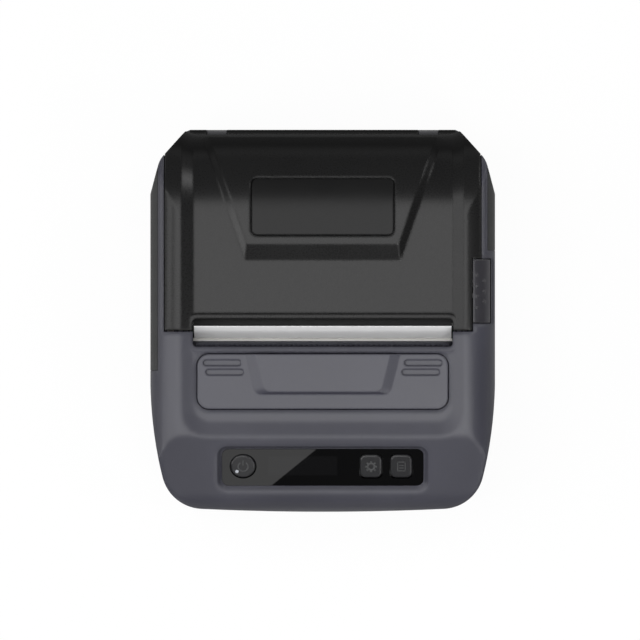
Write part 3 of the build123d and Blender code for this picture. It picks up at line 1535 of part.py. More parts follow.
bay_outer = bay_section(bay_radius + bay_wall)
bay_inner = bay_section(bay_radius)
with BuildPart() as paper_bay:
    extrude(bay_outer, amount=bay_half_width + bay_wall, both=True)
    extrude(bay_inner, amount=bay_half_width, both=True, mode=Mode.SUBTRACT)
    slab(-bay_half_width, bay_half_width, -case_length, case_length, bay_z, case_height, mode=Mode.SUBTRACT)
with BuildPart() as bay_flanges:
    extrude(side_outline(flange_top), amount=flange_half_width, both=True)
    extrude(side_outline(flange_base), amount=case_width, both=True, mode=Mode.SUBTRACT)
    slab(-case_width, case_width, flange_front_y, flange_rear_y, case_boss_top, case_height,
         mode=Mode.INTERSECT)
    add(wall_volume, mode=Mode.INTERSECT)
    slab(-bay_half_width - bay_wall / 2, bay_half_width + bay_wall / 2, 0, case_length, 0, case_height,
         mode=Mode.SUBTRACT)
with BuildPart() as bay_ends:
    for side in (-1, 1):
        low, high = sorted((side * bay_half_width, side * (bay_half_width + bay_wall)))
        with BuildSketch(Plane.YZ.offset(low)) as end:
            with Locations((roll_y, bay_z)):
                Circle(bay_radius + bay_wall)
        extrude(end.sketch, amount=bay_wall)
        slab(low, high, flange_front_y, flange_rear_y, bay_z, case_height)
    extrude(side_outline(flange_top), amount=case_width, both=True, mode=Mode.INTERSECT)
with BuildPart() as paper_bay_whole:
    add(paper_bay)
    add(bay_ends)
    add(bay_flanges)
save(paper_bay_whole, "paper_bay")

with BuildPart() as paper_core:
    rod(core_radius, -paper_width / 2, paper_width / 2, roll_y, roll_z)
    rod(core_radius - core_wall, -case_width, case_width, roll_y, roll_z, mode=Mode.SUBTRACT)
save(paper_core, "paper_core")

with BuildPart() as paper_roll:
    rod(roll_radius, -paper_width / 2, paper_width / 2, roll_y, roll_z)
    rod(core_radius, -case_width, case_width, roll_y, roll_z, mode=Mode.SUBTRACT)
save(paper_roll, "paper_roll")

# Paper from the roll, round the platen and out of the slot
exit_turn = math.atan2(exit_out[1], exit_out[0])
web_turn_full = web_turn % math.tau
with BuildPart() as paper_strip:
    with BuildSketch(Plane.YZ.offset(-paper_width / 2)):
        with BuildLine():
            edges = []
            for out in (web_gap, web_gap + paper_thickness):
                reach = platen_radius + out
                middle = (exit_turn + web_turn_full) / 2
                top_length = (paper_top_z - platen_z - reach * exit_out[1]) / exit_along[1]
                edges.append((
                    (roll_y + (roll_radius + out) * web_out[0], roll_z + (roll_radius + out) * web_out[1]),
                    (platen_y + reach * web_out[0], platen_z + reach * web_out[1]),
                    (platen_y + reach * math.cos(middle), platen_z + reach * math.sin(middle)),
                    at_nip(0, out),
                    at_nip(top_length, out),
                ))
            for roll_end, wrap_start, wrap_middle, wrap_end, free_end in edges:
                Line(roll_end, wrap_start)
                ThreePointArc(wrap_start, wrap_middle, wrap_end)
                Line(wrap_end, free_end)
            Line(edges[0][0], edges[1][0])
            Line(edges[0][4], edges[1][4])
        make_face()
    extrude(amount=paper_width)
save(paper_strip, "paper_strip")

# Sensor that sees the paper through the bay's front wall
sensor_half_width = 3.0
sensor_rise = 12.0
sensor_length = 4.0
sensor_thickness = 2.4
with BuildPart() as paper_sensor:
    with BuildSketch(Plane.YZ.offset(-sensor_half_width)) as sensor:
        corners = []
        for rise, out in ((0, 0), (sensor_length, 0), (sensor_length, sensor_thickness),
                          (0, sensor_thickness)):
            reach = bay_radius + bay_wall + seat_gap + out
            corners.append((
                roll_y + reach * web_out[0] + (sensor_rise + rise) * web_along[0],
                bay_z + reach * web_out[1] + (sensor_rise + rise) * web_along[1],
            ))
        with BuildLine():
            Polyline(*corners, close=True)
        make_face()
    extrude(amount=2 * sensor_half_width)
save(paper_sensor, "paper_sensor")

with BuildPart() as hinge_pin:
    rod(hinge_pin_radius, slip_gap - bead_half_length, bead_half_length - slip_gap, hinge_y, hinge_z)
save(hinge_pin, "hinge_pin")

# Main board over the battery, with its chips and the charging socket
board_tab_inset = 3.5
chip_height = 1.2
processor_size = (16.0, 10.0)
processor_setback = 6.5  # from the board's rear edge
driver_size = (8.0, 7.0)
driver_setback = 7.0
driver_x = 20.5
socket_radius = 1.2
socket_tongue_inset = 1.5
socket_tongue_thickness = 0.7
with BuildPart() as main_board:
    slab(-board_half_width, board_half_width, board_front_y, board_rear_y, board_z, board_top_z)
    slab(socket_low_x + board_tab_inset, -board_half_width, usb_y - usb_width / 2,
         usb_y + usb_width / 2, board_z,
         board_top_z)
    with BuildSketch(Plane.XY.offset(board_top_z)):
        with Locations((0, board_rear_y - processor_setback)):
            Rectangle(*processor_size)
        with Locations((driver_x, board_rear_y - driver_setback),
                       (-driver_x, board_rear_y - driver_setback)):
            Rectangle(*driver_size)
    extrude(amount=chip_height)
save(main_board, "main_board")

with BuildPart() as usb_socket:
    slab(socket_low_x, socket_high_x, usb_y - usb_width / 2, usb_y + usb_width / 2, usb_z - usb_height / 2,
         usb_z + usb_height / 2)
    fillet(usb_socket.edges().filter_by(Axis.X), socket_radius)
    slab(socket_low_x - cut_margin, socket_high_x - cut_margin, usb_y - usb_width / 2 + socket_wall,
         usb_y + usb_width / 2 - socket_wall, usb_z - usb_height / 2 + socket_wall,
         usb_z + usb_height / 2 - socket_wall, mode=Mode.SUBTRACT)
    slab(socket_low_x + socket_tongue_inset, socket_high_x, usb_y - usb_width / 3, usb_y + usb_width / 3,
         usb_z - socket_tongue_thickness / 2, usb_z + socket_tongue_thickness / 2)
save(usb_socket, "usb_socket")
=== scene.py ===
import logging
import math
from collections.abc import Iterable, Mapping, Sequence
from dataclasses import dataclass, field
from enum import Enum
from functools import cache
from typing import Any

import bmesh
import bpy
from mathutils import Matrix, Vector


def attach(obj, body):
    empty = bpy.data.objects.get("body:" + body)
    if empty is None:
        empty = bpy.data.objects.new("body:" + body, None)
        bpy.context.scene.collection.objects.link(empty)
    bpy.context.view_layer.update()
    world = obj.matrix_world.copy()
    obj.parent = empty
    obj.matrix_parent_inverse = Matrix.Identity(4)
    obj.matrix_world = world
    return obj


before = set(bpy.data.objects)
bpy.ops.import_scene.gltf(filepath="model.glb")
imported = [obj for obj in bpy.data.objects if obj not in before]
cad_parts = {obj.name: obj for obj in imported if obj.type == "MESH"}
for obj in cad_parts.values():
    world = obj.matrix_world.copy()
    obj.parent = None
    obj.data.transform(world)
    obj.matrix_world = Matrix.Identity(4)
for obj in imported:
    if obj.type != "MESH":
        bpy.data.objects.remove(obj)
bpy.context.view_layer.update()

NODES: dict[str, bpy.types.Object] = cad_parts
LOG = logging.getLogger("receipt_printer")
MM = 0.001  # a millimetre, as every size is in metres
BEVEL_SAMPLES = 6
CONTRAST = (0.3, 0.7)  # noise values that become 0 and 1
RAYS = ("Is Camera Ray", "Is Glossy Ray", "Is Transmission Ray")
Colour = tuple[float, float, float]
Place = tuple[float, float, float]


class Sock:
    """A shader socket that takes part in sums as a number does."""

    def __init__(self, tree: "Tree", out: bpy.types.NodeSocket) -> None:
        """Hold an output socket.

        Args:
            tree: Node tree the socket belongs to.
            out: Output socket to wrap.
        """
        self.tree = tree
        self.out = out

    def _join(self, operation: str, *values: "Sock | float") -> "Sock":
        """Add one Math node.

        Args:
            operation: The Math node's operation.
            *values: Its values or sockets, in order.

        Returns:
            The node's result.
        """
        return self.tree.take("Math", dict(enumerate(values)), {"operation": operation})

    def __add__(self, other: "Sock | float") -> "Sock":
        """Sum."""
        return self._join("ADD", self, other)

    __radd__ = __add__

    def __sub__(self, other: "Sock | float") -> "Sock":
        """Difference."""
        return self._join("SUBTRACT", self, other)

    def __rsub__(self, other: "Sock | float") -> "Sock":
        """Reflected difference."""
        return self._join("SUBTRACT", other, self)

    def __mul__(self, other: "Sock | float") -> "Sock":
        """Product."""
        return self._join("MULTIPLY", self, other)

    __rmul__ = __mul__

    def __gt__(self, other: "Sock | float") -> "Sock":
        """One where the socket is above the other value."""
        return self._join("GREATER_THAN", self, other)

    def __lt__(self, other: "Sock | float") -> "Sock":
        """One where the socket is below the other value."""
        return self._join("LESS_THAN", self, other)

    def __abs__(self) -> "Sock":
        """Size without sign."""
        return self._join("ABSOLUTE", self)

    def sin(self) -> "Sock":
        """Sine, in radians."""
        return self._join("SINE", self)

    def root(self) -> "Sock":
        """Square root."""
        return self._join("SQRT", self)

    def most(self, other: "Sock | float") -> "Sock":
        """The larger of the two."""
        return self._join("MAXIMUM", self, other)

    def swing(self) -> "Sock":
        """How far a noise is above 0.5, its middle."""
        return self - 0.5

    def ramp(self, low: float, high: float) -> "Sock":
        """Smooth step from 0 at low to 1 at high.

        Args:
            low: Value that gives 0.
            high: Value that gives 1.

        Returns:
            The stepped value.
        """
        return self.tree.take("MapRange", {"Value": self, "From Min": low, "From Max": high},
                              {"interpolation_type": "SMOOTHSTEP"}, "Result")


class Tree:
    """A node tree, to which one method adds every node."""

    def __init__(self, tree: bpy.types.NodeTree) -> None:
        """Hold a node tree.

        Args:
            tree: The node tree.
        """
        self.tree = tree

    def enter(self, slot: bpy.types.NodeSocket, value: Any) -> None:
        """Set or link one input.

        Args:
            slot: The input.
            value: Constant, colour or wrapped socket.
        """
        if isinstance(value, Sock):
            self.tree.links.new(value.out, slot)
        elif slot.type == "RGBA":
            slot.default_value = (*value, 1.0)
        else:
            slot.default_value = value

    def add(self, kind: str, inputs: Mapping[int | str, Any] | None = None,
            settings: Mapping[str, Any] | None = None) -> bpy.types.Node:
        """Add any node.

        Args:
            kind: Type of the node, without its ShaderNode prefix.
            inputs: Values or wrapped sockets for the inputs, by name or number.
            settings: Properties, which are set before the inputs.

        Returns:
            The node.
        """
        node = self.tree.nodes.new("ShaderNode" + kind)
        for key, value in (settings or {}).items():
            setattr(node, key, value)
        for key, value in (inputs or {}).items():
            self.enter(node.inputs[key], value)
        return node

    def take(self, kind: str, inputs: Mapping[int | str, Any] | None = None,
             settings: Mapping[str, Any] | None = None, output: int | str = 0) -> Sock:
        """Add any node and take one of its outputs.

        Args:
            kind: Type of the node, without its ShaderNode prefix.
            inputs: Values or wrapped sockets for the inputs, by name or number.
            settings: Properties, which are set before the inputs.
            output: Name or number of the output.

        Returns:
            The output.
        """
        return Sock(self, self.add(kind, inputs, settings).outputs[output])

    def rays(self) -> list[Sock]:
        """Masks of the camera, glossy and transmission rays, in that order."""
        path = self.add("LightPath")
        return [Sock(self, path.outputs[name]) for name in RAYS]


class Shade(Tree):
    """One material's node tree with a Principled shader at its end."""

    def __init__(self, name: str) -> None:
        """Start a material.

        Args:
            name: Name of the material.
        """
        self.material = bpy.data.materials.new(name)
        self.material.use_nodes = True
        super().__init__(self.material.node_tree)
        self.tree.nodes.clear()
        self.body = self.add("BsdfPrincipled")
        self.skin = Sock(self, self.body.outputs["BSDF"])
        self.surface = self.add("OutputMaterial", {"Surface": self.skin}).inputs["Surface"]
        self.place = self.take("TexCoord", output="Object")
        apart = self.add("SeparateXYZ", {"Vector": self.place})
        self.x, self.y, self.z = (Sock(self, out) for out in apart.outputs)

    def feed(self, slot: str, value: Any) -> None:
        """Set or link one of the Principled shader's sockets.

        Args:
            slot: Name of the socket.
            value: Constant, colour or wrapped socket.
        """
        self.enter(self.body.inputs[slot], value)

    def stretched(self, scale: Sequence[float]) -> Sock:
        """Object coordinates stretched along the axes.

        Args:
            scale: Factor along X, Y and Z.

        Returns:
            The stretched coordinates.
        """
        return self.take("Mapping", {"Vector": self.place, "Scale": scale})

    def noise(self, scale: float, detail: float = 2.0, place: Sock | None = None) -> Sock:
        """Grey noise about 0.5.

        Args:
            scale: Cycles per unit of the coordinates, which are metres unless stretched.
            detail: Octaves.
            place: Coordinates, or None for the object's own.

        Returns:
            The noise.
        """
        return self.take("TexNoise", {"Vector": place or self.place, "Scale": scale, "Detail": detail})

    def mix(self, share: Sock | float, first: Sock | Colour, second: Sock | Colour) -> Sock:
        """Blend two colours.

        Args:
            share: Share of the second, 0 to 1.
            first: Colour at share 0.
            second: Colour at share 1.

        Returns:
            The blended colour.
        """
        return self.take("Mix", {0: share, 6: first, 7: second}, {"data_type": "RGBA"}, 2)

    def rounded(self, radius: float) -> Sock:
        """Normal of the surface with its edges rounded off.

        Args:
            radius: Radius of the rounding in metres.

        Returns:
            The normal.
        """
        return self.take("Bevel", {"Radius": radius}, {"samples": BEVEL_SAMPLES})

    def bump(self, height: Sock, depth: float, strength: float, soft: float = 0.0) -> None:
        """Raise the surface by a height field, with its edges softened.

        Args:
            height: Height from 0 to 1.
            depth: Height of 1 in metres.
            strength: Strength of the relief.
            soft: Radius of the softened edges in metres, or 0 for sharp ones.
        """
        inputs = {"Height": height, "Distance": depth, "Strength": strength}
        if soft:
            inputs["Normal"] = self.rounded(soft)
        self.feed("Normal", self.take("Bump", inputs))

    def blend(self, share: Sock, other: Sock) -> None:
        """Mix another shader over the surface.

        Args:
            share: Share of the other shader, 0 to 1.
            other: The other shader.
        """
        self.enter(self.surface, self.take("MixShader", {0: share, 1: self.skin, 2: other}))

    def fade(self, colour: Colour, share: float, low: float = 0.15, high: float = 0.45) -> None:
        """Paint shade: mix a darker, dull tone over the surface where it turns away from the view, so that
        the gloss sinks.

        Args:
            colour: Tone of the painted shade.
            share: Share of the gloss that the painted shade replaces.
            low: Facing value where the loss starts.
            high: Facing value where it is full.
        """
        painted_shade = self.take("BsdfDiffuse", {"Color": colour})
        turned = self.take("LayerWeight", output="Facing").ramp(low, high)
        self.blend(turned * share, painted_shade)

    def edges(self, radius: float, low: float = 0.01, high: float = 0.16) -> Sock:
        """Mask of the surface's edges, from how far rounding turns the normal.

        Args:
            radius: How far an edge reaches, in metres.
            low: Loss of the two normals' product where the mask starts.
            high: Loss where it is full.

        Returns:
            The mask, 1 at a sharp edge.
        """
        normals = {0: self.rounded(radius), 1: self.take("NewGeometry", output="Normal")}
        alike = self.take("VectorMath", normals, {"operation": "DOT_PRODUCT"}, "Value")
        return (1 - alike).ramp(low, high)


def shaded(colour: Colour, factor: float) -> Colour:
    """A colour made lighter or darker.

    Args:
        colour: Linear colour.
        factor: What each channel is multiplied by.

    Returns:
        The new colour.
    """
    return (colour[0] * factor, colour[1] * factor, colour[2] * factor)


@dataclass(frozen=True)
class Moulded:
    """Moulded plastic with a spark-eroded grain, its edges lighter: partly rubbed wear, partly a painted
    highlight.
    """

    colour: Colour
    roughness: float = 0.5
    specular: float = 0.5
    grain: float = 1500.0  # cycles per metre
    depth: float = 0.00003  # of the grain, metres
    mottle: float = 0.06  # share of tone that the clouds add and take
    soft: float = 0.0006  # radius of the softened edges, metres
    wear: float = 0.12  # strength of the lighter edges, rubbed wear and a painted highlight
    painted_turn_shade: float = 0.0  # share of painted shade, a darker tone, where the surface turns away from the view
    relief: float = 0.6
    grain_rough: float = 0.1  # roughness that the grain adds and takes
    clouds: float = 45.0  # cycles per metre
    cloud_rough: float = 0.08
    edge_reach: float = 0.0005  # metres
    edge_patches: float = 160.0  # cycles per metre
    edge_spread: float = 0.4  # of the lighter edges' strength between patches
    rub_and_highlight_tone: float = 2.2
    rub_rough: float = 0.08
    painted_turn_tone: float = 0.5

    def make(self, name: str) -> bpy.types.Material:
        """Build the material.

        Args:
            name: Name of the material.

        Returns:
            The material.
        """
        shade = Shade(name)
        fine = shade.noise(self.grain)
        broad = shade.noise(self.clouds, detail=3.0)
        tone = shade.mix(broad.ramp(*CONTRAST), shaded(self.colour, 1 - self.mottle),
                         shaded(self.colour, 1 + self.mottle))
        patches = shade.noise(self.edge_patches, detail=3.0).ramp(*CONTRAST)
        # Lighter edges: rubbed wear, and where the strength is high a painted highlight along the rims.
        rub_and_highlight = shade.edges(self.edge_reach) * (patches * self.edge_spread + (1 - self.edge_spread))
        rough = self.roughness + fine.swing() * self.grain_rough + broad.swing() * self.cloud_rough
        shade.feed("Base Color", shade.mix(rub_and_highlight * self.wear, tone, shaded(self.colour, self.rub_and_highlight_tone)))
        shade.feed("Roughness", rough - rub_and_highlight * self.rub_rough)
        shade.feed("Specular IOR Level", self.specular)
        shade.bump(fine, self.depth, self.relief, self.soft)
        # Painted shade: a darker dull tone where the surface turns away from the view.
        if self.painted_turn_shade:
            shade.fade(shaded(self.colour, self.painted_turn_tone), self.painted_turn_shade)
        return shade.material


@dataclass(frozen=True)
class Metal:
    """Metal with marks drawn along one axis."""

    colour: Colour
    roughness: float = 0.32
    lines: tuple[float, float, float] = (40.0, 2400.0, 2400.0)  # cycles per metre along the axes
    depth: float = 0.000012  # of the lines, metres
    relief: float = 0.5
    line_rough: float = 0.2  # roughness that the lines add and take
    clouds: float = 120.0  # cycles per metre
    cloud_rough: float = 0.15
    dark: float = 0.86
    light: float = 1.08

    def make(self, name: str) -> bpy.types.Material:
        """Build the material.

        Args:
            name: Name of the material.

        Returns:
            The material.
        """
        shade = Shade(name)
        drawn = shade.noise(1.0, place=shade.stretched(self.lines))
        cloud = shade.noise(self.clouds, detail=3.0)
        shade.feed("Metallic", 1.0)
        tone = shade.mix(cloud, shaded(self.colour, self.dark), shaded(self.colour, self.light))
        shade.feed("Base Color", tone)
        shade.feed("Roughness",
                   self.roughness + drawn.swing() * self.line_rough + cloud.swing() * self.cloud_rough)
        shade.bump(drawn, self.depth, self.relief)
        return shade.material


@dataclass(frozen=True)
class Rubber:
    """Rubber with a fine ground skin and a little dust."""

    colour: Colour
    roughness: float = 0.72
    skin: float = 2600.0  # cycles per metre
    skin_rough: float = 0.2  # roughness that the skin adds and takes
    depth: float = 0.00003  # of the skin, metres
    relief: float = 0.6
    dust: float = 160.0  # cycles per metre
    dust_range: tuple[float, float] = (0.5, 0.8)  # noise values where dust starts and is full
    dusty: float = 0.35  # share of the dust's tone
    dust_tone: float = 1.9

    def make(self, name: str) -> bpy.types.Material:
        """Build the material.

        Args:
            name: Name of the material.

        Returns:
            The material.
        """
        shade = Shade(name)
        fine = shade.noise(self.skin)
        dust = shade.noise(self.dust, detail=4.0).ramp(*self.dust_range)
        tone = shade.mix(dust * self.dusty, self.colour, shaded(self.colour, self.dust_tone))
        shade.feed("Base Color", tone)
        shade.feed("Roughness", self.roughness + fine.swing() * self.skin_rough)
        shade.bump(fine, self.depth, self.relief)
        return shade.material


@dataclass(frozen=True)
class Paper:
    """Thermal paper, which on the roll shows its wound layers at the ends."""

    colour: Colour
    wound: bool = False
    axis: tuple[float, float] = (30.5 * MM, 25.2 * MM)  # Y and Z of the roll's axis
    layer: float = 0.42 * MM
    end_x: float = 39.8 * MM  # past this, the surface is a roll's end
    line_share: float = 0.5
    line_tone: float = 0.72
    fibres: tuple[float, float, float] = (700.0, 2200.0, 2200.0)  # cycles per metre along the axes
    fibre_rough: float = 0.12  # roughness that the fibres add and take
    depth: float = 0.00001  # of the fibres, metres
    relief: float = 0.5
    clouds: float = 90.0  # cycles per metre
    dark: float = 0.97
    light: float = 1.02
    roughness: float = 0.62

    def make(self, name: str) -> bpy.types.Material:
        """Build the material.

        Args:
            name: Name of the material.

        Returns:
            The material.
        """
        shade = Shade(name)
        fibre = shade.noise(1.0, 3.0, place=shade.stretched(self.fibres))
        cloud = shade.noise(self.clouds)
        base = shade.mix(cloud, shaded(self.colour, self.dark), shaded(self.colour, self.light))
        if self.wound:
            dy, dz = shade.y - self.axis[0], shade.z - self.axis[1]
            reach = (dy * dy + dz * dz).root()
            rings = (reach * (math.tau / self.layer)).sin() * 0.5 + 0.5
            end = abs(shade.x) > self.end_x
            base = shade.mix(end * rings * self.line_share, base, shaded(self.colour, self.line_tone))
        shade.feed("Base Color", base)
        shade.feed("Roughness", self.roughness + fibre.swing() * self.fibre_rough)
        shade.bump(fibre, self.depth, self.relief)
        return shade.material


@dataclass(frozen=True)
class Board:
    """Circuit board with tracks under its solder mask, and dark chips above it."""

    colour: Colour
    chip_z: float = 24.75 * MM
    chip: Colour = (0.018, 0.018, 0.02)
    pitch_x: float = 2.1 * MM  # of the tracks that run along Y
    pitch_y: float = 2.4 * MM  # of those that run along X
    gap_x: float = 0.55  # sine above which there is a track along Y
    gap_y: float = 0.6  # and along X
    patches: float = 120.0  # cycles per metre
    track_share: float = 0.7
    track_tone: float = 1.9
    depth: float = 0.00003  # of the tracks, metres
    relief: float = 0.6
    clouds: float = 300.0  # cycles per metre
    cloud_rough: float = 0.1  # roughness that the clouds add and take
    roughness: float = 0.36

    def make(self, name: str) -> bpy.types.Material:
        """Build the material.

        Args:
            name: Name of the material.

        Returns:
            The material.
        """
        shade = Shade(name)
        along_y = (shade.x * (math.tau / self.pitch_x)).sin() > self.gap_x
        along_x = (shade.y * (math.tau / self.pitch_y)).sin() > self.gap_y
        patch = shade.take("TexVoronoi", {"Vector": shade.place, "Scale": self.patches}, output="Color")
        choice = shade.take("SeparateColor", {"Color": patch})
        tracks = (along_y * (choice > 0.5)).most(along_x * (choice < 0.5))
        base = shade.mix(tracks * self.track_share, self.colour, shaded(self.colour, self.track_tone))
        shade.feed("Base Color", shade.mix(shade.z > self.chip_z, base, self.chip))
        shade.feed("Roughness", self.roughness + shade.noise(self.clouds).swing() * self.cloud_rough)
        shade.bump(tracks, self.depth, self.relief)
        return shade.material


@dataclass(frozen=True)
class GlossPanel:
    """Gloss black panel with the display's window faintly showing through it."""

    colour: Colour = (0.0022, 0.0022, 0.0024)
    window: Colour = (0.0042, 0.0042, 0.0046)
    low_x: float = -17.0 * MM
    high_x: float = 4.6 * MM
    low_y: float = -48.2 * MM
    high_y: float = -42.0 * MM
    rim: float = 0.3 * MM  # blur of the window's edge
    clouds: float = 60.0  # cycles per metre
    roughness: float = 0.01
    haze: float = 0.015  # roughness that the clouds add
    depth: float = 0.000002  # of the clouds, metres
    relief: float = 0.05

    def make(self, name: str) -> bpy.types.Material:
        """Build the material.

        Args:
            name: Name of the material.

        Returns:
            The material.
        """
        shade = Shade(name)
        across = shade.x.ramp(self.low_x, self.low_x + self.rim)
        across *= 1 - shade.x.ramp(self.high_x - self.rim, self.high_x)
        along = shade.y.ramp(self.low_y, self.low_y + self.rim)
        along *= 1 - shade.y.ramp(self.high_y - self.rim, self.high_y)
        cloud = shade.noise(self.clouds, detail=3.0)
        shade.feed("Base Color", shade.mix(across * along, self.colour, self.window))
        shade.feed("Roughness", self.roughness + cloud * self.haze)
        shade.bump(cloud, self.depth, self.relief)
        return shade.material


class Finish(Enum):
    """Finishes of the printer's pieces."""

    # The case and deck take strong lighter edges, part wear and part painted highlight; the case, cover and
    # inset take painted shade where they turn away from the view.
    CASE = Moulded((0.042, 0.042, 0.055), 0.42, soft=0.0025, wear=0.6, painted_turn_shade=0.45)
    DECK = Moulded((0.043, 0.043, 0.057), 0.42, soft=0.0008, wear=0.4)
    CASE_DARK = Moulded((0.035, 0.035, 0.039), 0.55)
    COVER = Moulded((0.011, 0.011, 0.0111), 0.28, 0.24, grain=1700.0, depth=0.00001, mottle=0.05,
                    soft=0.0012, wear=0.1, painted_turn_shade=0.9)
    INSET = Moulded((0.0095, 0.0095, 0.0096), 0.32, 0.16, grain=1700.0, depth=0.000012, mottle=0.05,
                    wear=0.1, painted_turn_shade=0.9)
    STRIP = Rubber((0.016, 0.0165, 0.0165))
    BUTTON = Moulded((0.022, 0.021, 0.026), 0.42, soft=0.0009)
    KEY = Moulded((0.014, 0.014, 0.0155), 0.3)
    PANEL = GlossPanel()
    LIGHT = Moulded((0.35, 0.37, 0.4), 0.25)
    DISPLAY = Moulded((0.01, 0.012, 0.014), 0.15)
    BATTERY = Moulded((0.02, 0.02, 0.022), 0.42)
    STEEL = Metal((0.56, 0.56, 0.57), 0.26)
    SHEET = Metal((0.5, 0.51, 0.52), 0.38, (300.0, 900.0, 900.0))
    SPRING = Metal((0.36, 0.35, 0.34), 0.3)
    HEATSINK = Metal((0.62, 0.62, 0.63), 0.42, (30.0, 1500.0, 1500.0))
    PLATEN = Rubber((0.014, 0.014, 0.014), 0.6)
    FEET = Rubber((0.02, 0.02, 0.02), 0.8)
    NYLON = Moulded((0.62, 0.6, 0.53), 0.42)
    ACETAL = Moulded((0.02, 0.02, 0.02), 0.36)
    ALUMINA = Moulded((0.6, 0.59, 0.56), 0.3)
    PAPER = Paper((0.9, 0.9, 0.905))
    ROLL = Paper((0.8, 0.8, 0.81), wound=True)
    CARD = Moulded((0.42, 0.32, 0.21), 0.8, grain=900.0, depth=0.00004, mottle=0.12)
    BOARD = Board((0.012, 0.075, 0.032))
    MOTOR = Metal((0.3, 0.3, 0.31), 0.4)
    MARK = Moulded((0.055, 0.056, 0.058))
    # dark crosses painted as the shade inside the screws' recesses
    RECESS = Metal((0.06, 0.06, 0.06), 0.5)


@cache
def finish(choice: Finish) -> bpy.types.Material:
    """The material of a finish, built once.

    Args:
        choice: The finish.

    Returns:
        Its material.
    """
    return choice.value.make("finish_" + choice.name.lower())


def dress(names: Iterable[str], choice: Finish) -> None:
    """Give CAD nodes a finish.

    Args:
        names: Names of the nodes.
        choice: Their finish.
    """
    for name in names:
        if name not in NODES:
            LOG.warning("no node %s", name)
            continue
        slots = NODES[name].data.materials
        slots.clear()
        slots.append(finish(choice))
        LOG.info("%s wears %s", name, choice.name.lower())


class Mesher:
    """A bmesh in the making, with the operators the pieces use."""

    def __init__(self) -> None:
        """Start empty."""
        self.bm = bmesh.new()

    def block(self, low: Sequence[float], high: Sequence[float]) -> list[bmesh.types.BMVert]:
        """Add a box.

        Args:
            low: Lowest corner.
            high: Highest corner.

        Returns:
            Its vertices.
        """
        made = bmesh.ops.create_cube(self.bm, size=1.0)["verts"]
        bmesh.ops.scale(self.bm, vec=[b - a for a, b in zip(low, high)], verts=made)
        bmesh.ops.translate(self.bm, vec=[(a + b) / 2 for a, b in zip(low, high)], verts=made)
        return made

    def hoop(self, inner: float, outer: float, depth: float, sides: int, start: float = 0.0,
             sweep: float = math.tau) -> list[bmesh.types.BMVert]:
        """Spin a small rectangle about Z into a ring or a capped arc.

        Args:
            inner: Inner radius.
            outer: Outer radius.
            depth: Height.
            sides: Steps of the spin.
            start: Angle where it starts.
            sweep: Angle it covers.

        Returns:
            Its vertices.
        """
        before = set(self.bm.verts)
        section = ((inner, 0), (outer, 0), (outer, depth), (inner, depth))
        corners = [self.bm.verts.new((radius, 0, z)) for radius, z in section]
        face = self.bm.faces.new(corners)
        edges = list(face.edges)
        whole = math.isclose(sweep, math.tau)
        if whole:
            self.bm.faces.remove(face)
        bmesh.ops.rotate(self.bm, cent=(0, 0, 0), matrix=Matrix.Rotation(start, 3, "Z"), verts=corners)
        turned = bmesh.ops.spin(self.bm, geom=[*edges, *corners], cent=(0, 0, 0), axis=(0, 0, 1), angle=sweep,
                                steps=sides, use_merge=whole)
        if not whole:
            last = [e for e in turned["geom_last"] if isinstance(e, bmesh.types.BMEdge)]
            bmesh.ops.contextual_create(self.bm, geom=last)
        return [v for v in self.bm.verts if v not in before]

    def place(self, verts: Iterable[bmesh.types.BMVert], matrix: Matrix) -> None:
        """Move vertices.

        Args:
            verts: Vertices to move.
            matrix: The move.
        """
        bmesh.ops.transform(self.bm, matrix=matrix, verts=list(verts))

    def finish(self, name: str, body: str, choice: Finish, slot: str, merge: float = 1e-7,
               sharp: float = 32.0) -> None:
        """Turn the bmesh into a piece that rides on a body.

        Args:
            name: Name of the piece.
            body: CAD body it rides on.
            choice: Its finish.
            slot: Material slot of the record that the finish belongs to. Not used.
            merge: Distance within which vertices are joined, in metres.
            sharp: Angle in degrees above which an edge is shaded sharp.
        """
        bmesh.ops.remove_doubles(self.bm, verts=self.bm.verts, dist=merge)
        bmesh.ops.recalc_face_normals(self.bm, faces=self.bm.faces)
        mesh = bpy.data.meshes.new(name)
        self.bm.to_mesh(mesh)
        self.bm.free()
        piece = bpy.data.objects.new(name, mesh)
        bpy.context.scene.collection.objects.link(piece)
        mesh.materials.append(finish(choice))
        mesh.shade_smooth()
        mesh.set_sharp_from_angle(angle=math.radians(sharp))
        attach(piece, body)
        LOG.info("%s: %d faces on %s", name, len(mesh.polygons), body)


@dataclass(frozen=True)
class PanelPlane:
    """Seat of the control panel on the front slope."""

    y: float = -46.1 * MM
    case_height: float = 56.0 * MM
    crest_y: float = -36.0 * MM  # where the slope starts
    slope: float = math.radians(24.0)
    depth: float = 1.2 * MM  # of the panel's face below the case

    @property
    def z(self) -> float:
        """Height of the slope at the panel's middle."""
        return self.case_height - (self.crest_y - self.y) * math.tan(self.slope)

    def at(self, x: float, y: float, lift: float) -> Matrix:
        """Placement on the panel's plane.

        Args:
            x: Across, in metres.
            y: Up the slope from the panel's middle.
            lift: Height above the panel's face.

        Returns:
            The placement.
        """
        tilt = Matrix.Rotation(self.slope, 4, "X")
        return Matrix.Translation((x, self.y, self.z)) @ tilt @ Matrix.Translation((0, y, lift - self.depth))


